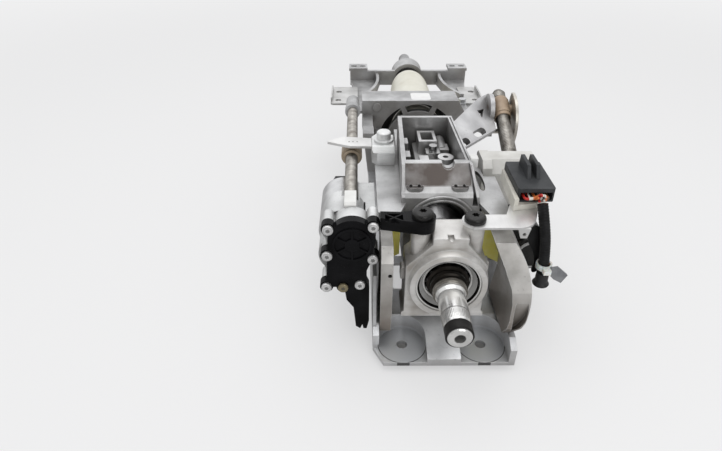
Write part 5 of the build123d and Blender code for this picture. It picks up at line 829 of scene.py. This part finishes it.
# Its shield is a thin washer behind the cone, which hides the balls: a closed profile of radius
# and Y, turned once round the shaft's axis.
SHIELD = [(0.0205, 0.0034), (0.0196, 0.0037), (0.0188, 0.0041), (0.0188, 0.0043), (0.0205, 0.0043)]
radius, face = np.array(SHIELD).T[:, :, None]
angle = np.linspace(0, 2 * math.pi, 96, endpoint=False)
across, up = radius * np.cos(angle), radius * np.sin(angle)
rings = np.stack([SHAFT_AXIS[0] + across, face + 0 * across, SHAFT_AXIS[1] + up], axis=-1)
skin("bearing_shield", rings, "head", look, loop=True)
BALL_STEEL = ((0.62, 0.62, 0.62), (0.88, 0.88, 0.88))
turned("ball_polished", *BALL_STEEL, 0.08, ["bearing_balls"], stretch=(1, 1, 1), relief=0.03)
look = Look("ring_browned", 0.8, 0.24)
near = look.maths("LESS_THAN", look.axis("Y"), INNER_RING_BACK)
stain = look.ramp(look.noise(80, 3), [(0.3, (0.010, 0.009, 0.007)), (0.7, (0.05, 0.042, 0.035))])
steel = look.ramp(look.noise(110, 3), [(0.3, (0.20, 0.185, 0.16)), (0.7, (0.42, 0.395, 0.36))])
look.finish(look.blend(near, stain, steel), look.noise(70, 4, (1, 40, 1)), 0.15, corner_shade=0.8)
look.wear("bearing_inner_ring")


# Strap and connector: a zinc-plated steel strap on two black screws; the cream nylon holder is
# clipped to its end, and the black connector is pushed into that.
BLACKED = ((0.006, 0.006, 0.006), (0.024, 0.023, 0.022))
turned("screw_black", *BLACKED, 0.28, ["head_screws"], stretch=(1, 1, 1), metallic=0.2)
pressed("strap_zinc", (0.80, 0.80, 0.795), (0.95, 0.95, 0.945), 0.38, ["strap_bracket"], stretch=(12, 1, 1))
moulding("holder_cream", (0.62, 0.60, 0.53), (0.80, 0.785, 0.72), 0.45, ["connector_holder"])
moulding("connector_black", (0.040, 0.042, 0.045), (0.066, 0.069, 0.073), 0.36, ["connector"])


# Reach drive: a glossy black nylon cover on seven screws closes the gears on the left; behind it
# sit the die-cast gear case, the screw's white nylon block, and a steel motor with its end cap.
COVER_BLACK = ((0.002, 0.002, 0.0024), (0.007, 0.007, 0.008))
ARM_BLACK = ((0.0025, 0.0025, 0.0027), (0.008, 0.008, 0.009))
moulding("cover_black", *COVER_BLACK, 0.24, ["drive_cover"], grain=500, strength=0.08)
moulding("arm_black", *ARM_BLACK, 0.30, ["mount_arm", "drive_tail"], strength=0.15)

# The screws are zinc-plated, one of them brass; each has a star recess painted dark as its shade, and a thin
# darker ring at its rim.
BRASS_HEAD = (-0.0869, 0.0690)
SCREW_HEADS = [
    (-0.0990, 0.1015), (-0.0865, 0.0680), (-0.0975, 0.1270), (-0.0617, 0.1295),
    (-0.0617, 0.0980), (-0.0723, 0.0710), (-0.1005, 0.0685),
]
HEAD_REACH = 0.0065
STAR_RADIUS, STAR_LOBE, STAR_POINTS = 0.0017, 0.0003, 6.0
HEAD_RIM = (0.0031, 0.0035)
look = Look("cover_screw_metal", 0.75, 0.34)
brass = look.maths("LESS_THAN", look.distance(BRASS_HEAD), HEAD_REACH)
zinc = look.ramp(look.noise(140, 3), [(0.34, (0.72, 0.72, 0.72)), (0.66, (0.93, 0.93, 0.93))])
recess = 0.0
for x, z in SCREW_HEADS:
    away = look.distance((x, z))
    up, aside = look.maths("SUBTRACT", look.axis("Z"), z), look.maths("SUBTRACT", look.axis("X"), x)
    turn = look.maths("MULTIPLY", look.maths("ARCTAN2", up, aside), STAR_POINTS)
    edge = look.maths("ADD", look.maths("MULTIPLY", look.maths("SINE", turn), STAR_LOBE), STAR_RADIUS)
    # The star recess is painted dark: painted shade.
    star = look.maths("MULTIPLY", look.maths("LESS_THAN", away, edge), 0.75)
    rim = look.maths("MULTIPLY", look.within(away, *HEAD_RIM), 0.3)
    recess = look.maths("MAXIMUM", recess, look.maths("MAXIMUM", star, rim))
colour = look.blend(recess, look.blend(brass, zinc, (0.34, 0.29, 0.18)), (0.10, 0.10, 0.095))
look.finish(colour, look.noise(600, 3), 0.08)
look.wear("cover_screws")
PALE_ALLOY = ((0.62, 0.63, 0.63), (0.88, 0.89, 0.89), (0.46, 0.465, 0.465))
casting("housing_alloy", *PALE_ALLOY, 0.33, ["drive_housing", "gear_case"], skin_and_shade_share=0.4)
moulding("block_white", (0.74, 0.74, 0.72), (0.88, 0.88, 0.865), 0.4, ["spindle_block"])
MOTOR_SILVER = ((0.58, 0.585, 0.59), (0.84, 0.845, 0.85))
turned("motor_silver", *MOTOR_SILVER, 0.34, ["reach_motor"], metallic=0.9, relief=0.1)
moulding("cap_black", (0.012, 0.012, 0.013), (0.035, 0.035, 0.037), 0.42, ["motor_cap"])
moulding("sleeve_grey", (0.36, 0.365, 0.37), (0.56, 0.565, 0.57), 0.4, ["spindle_sleeve"])


# Steering shaft: bright machined steel with a rolled grip, a black sealing band and a plain tip
# with the wheel bolt's hole; below it a ball-and-cup joint and the output shaft.
GRIP = (-0.0475, -0.0385)
GRIP_TEETH = 56.0
STAIN = (-0.0385, -0.0375)
look = Look("shaft_machined", 0.8, 0.27)
rings = look.noise(70, 4, (1, 45, 1))
colour = look.ramp(look.noise(50, 3), [(0.30, (0.80, 0.80, 0.79)), (0.60, (0.98, 0.98, 0.97))])
turn = look.maths("ARCTAN2", look.maths("SUBTRACT", look.axis("Z"), SHAFT_AXIS[1]), look.axis("X"))
teeth = look.maths("SINE", look.maths("MULTIPLY", turn, GRIP_TEETH))
grip = look.within(look.axis("Y"), *GRIP)
ridges = look.maths("MULTIPLY", teeth, look.maths("MULTIPLY", grip, 0.3))
relief = look.maths("ADD", look.maths("MULTIPLY", rings, 0.12), ridges)
stain = look.within(look.axis("Y"), *STAIN)
colour = look.blend(look.maths("MULTIPLY", grip, 0.25), colour, (0.25, 0.24, 0.22))
colour = look.blend(look.maths("MULTIPLY", stain, 0.7), colour, (0.12, 0.11, 0.10))
look.finish(colour, relief, 0.4, corner_shade=0.35, depth=0.0004)
look.wear("upper_shaft")
moulding("band_black", (0.010, 0.010, 0.010), (0.03, 0.029, 0.028), 0.3, ["shaft_band"])
turned("joint_steel", (0.22, 0.22, 0.225), (0.45, 0.45, 0.455), 0.3, ["lower_shaft", "output_shaft"])
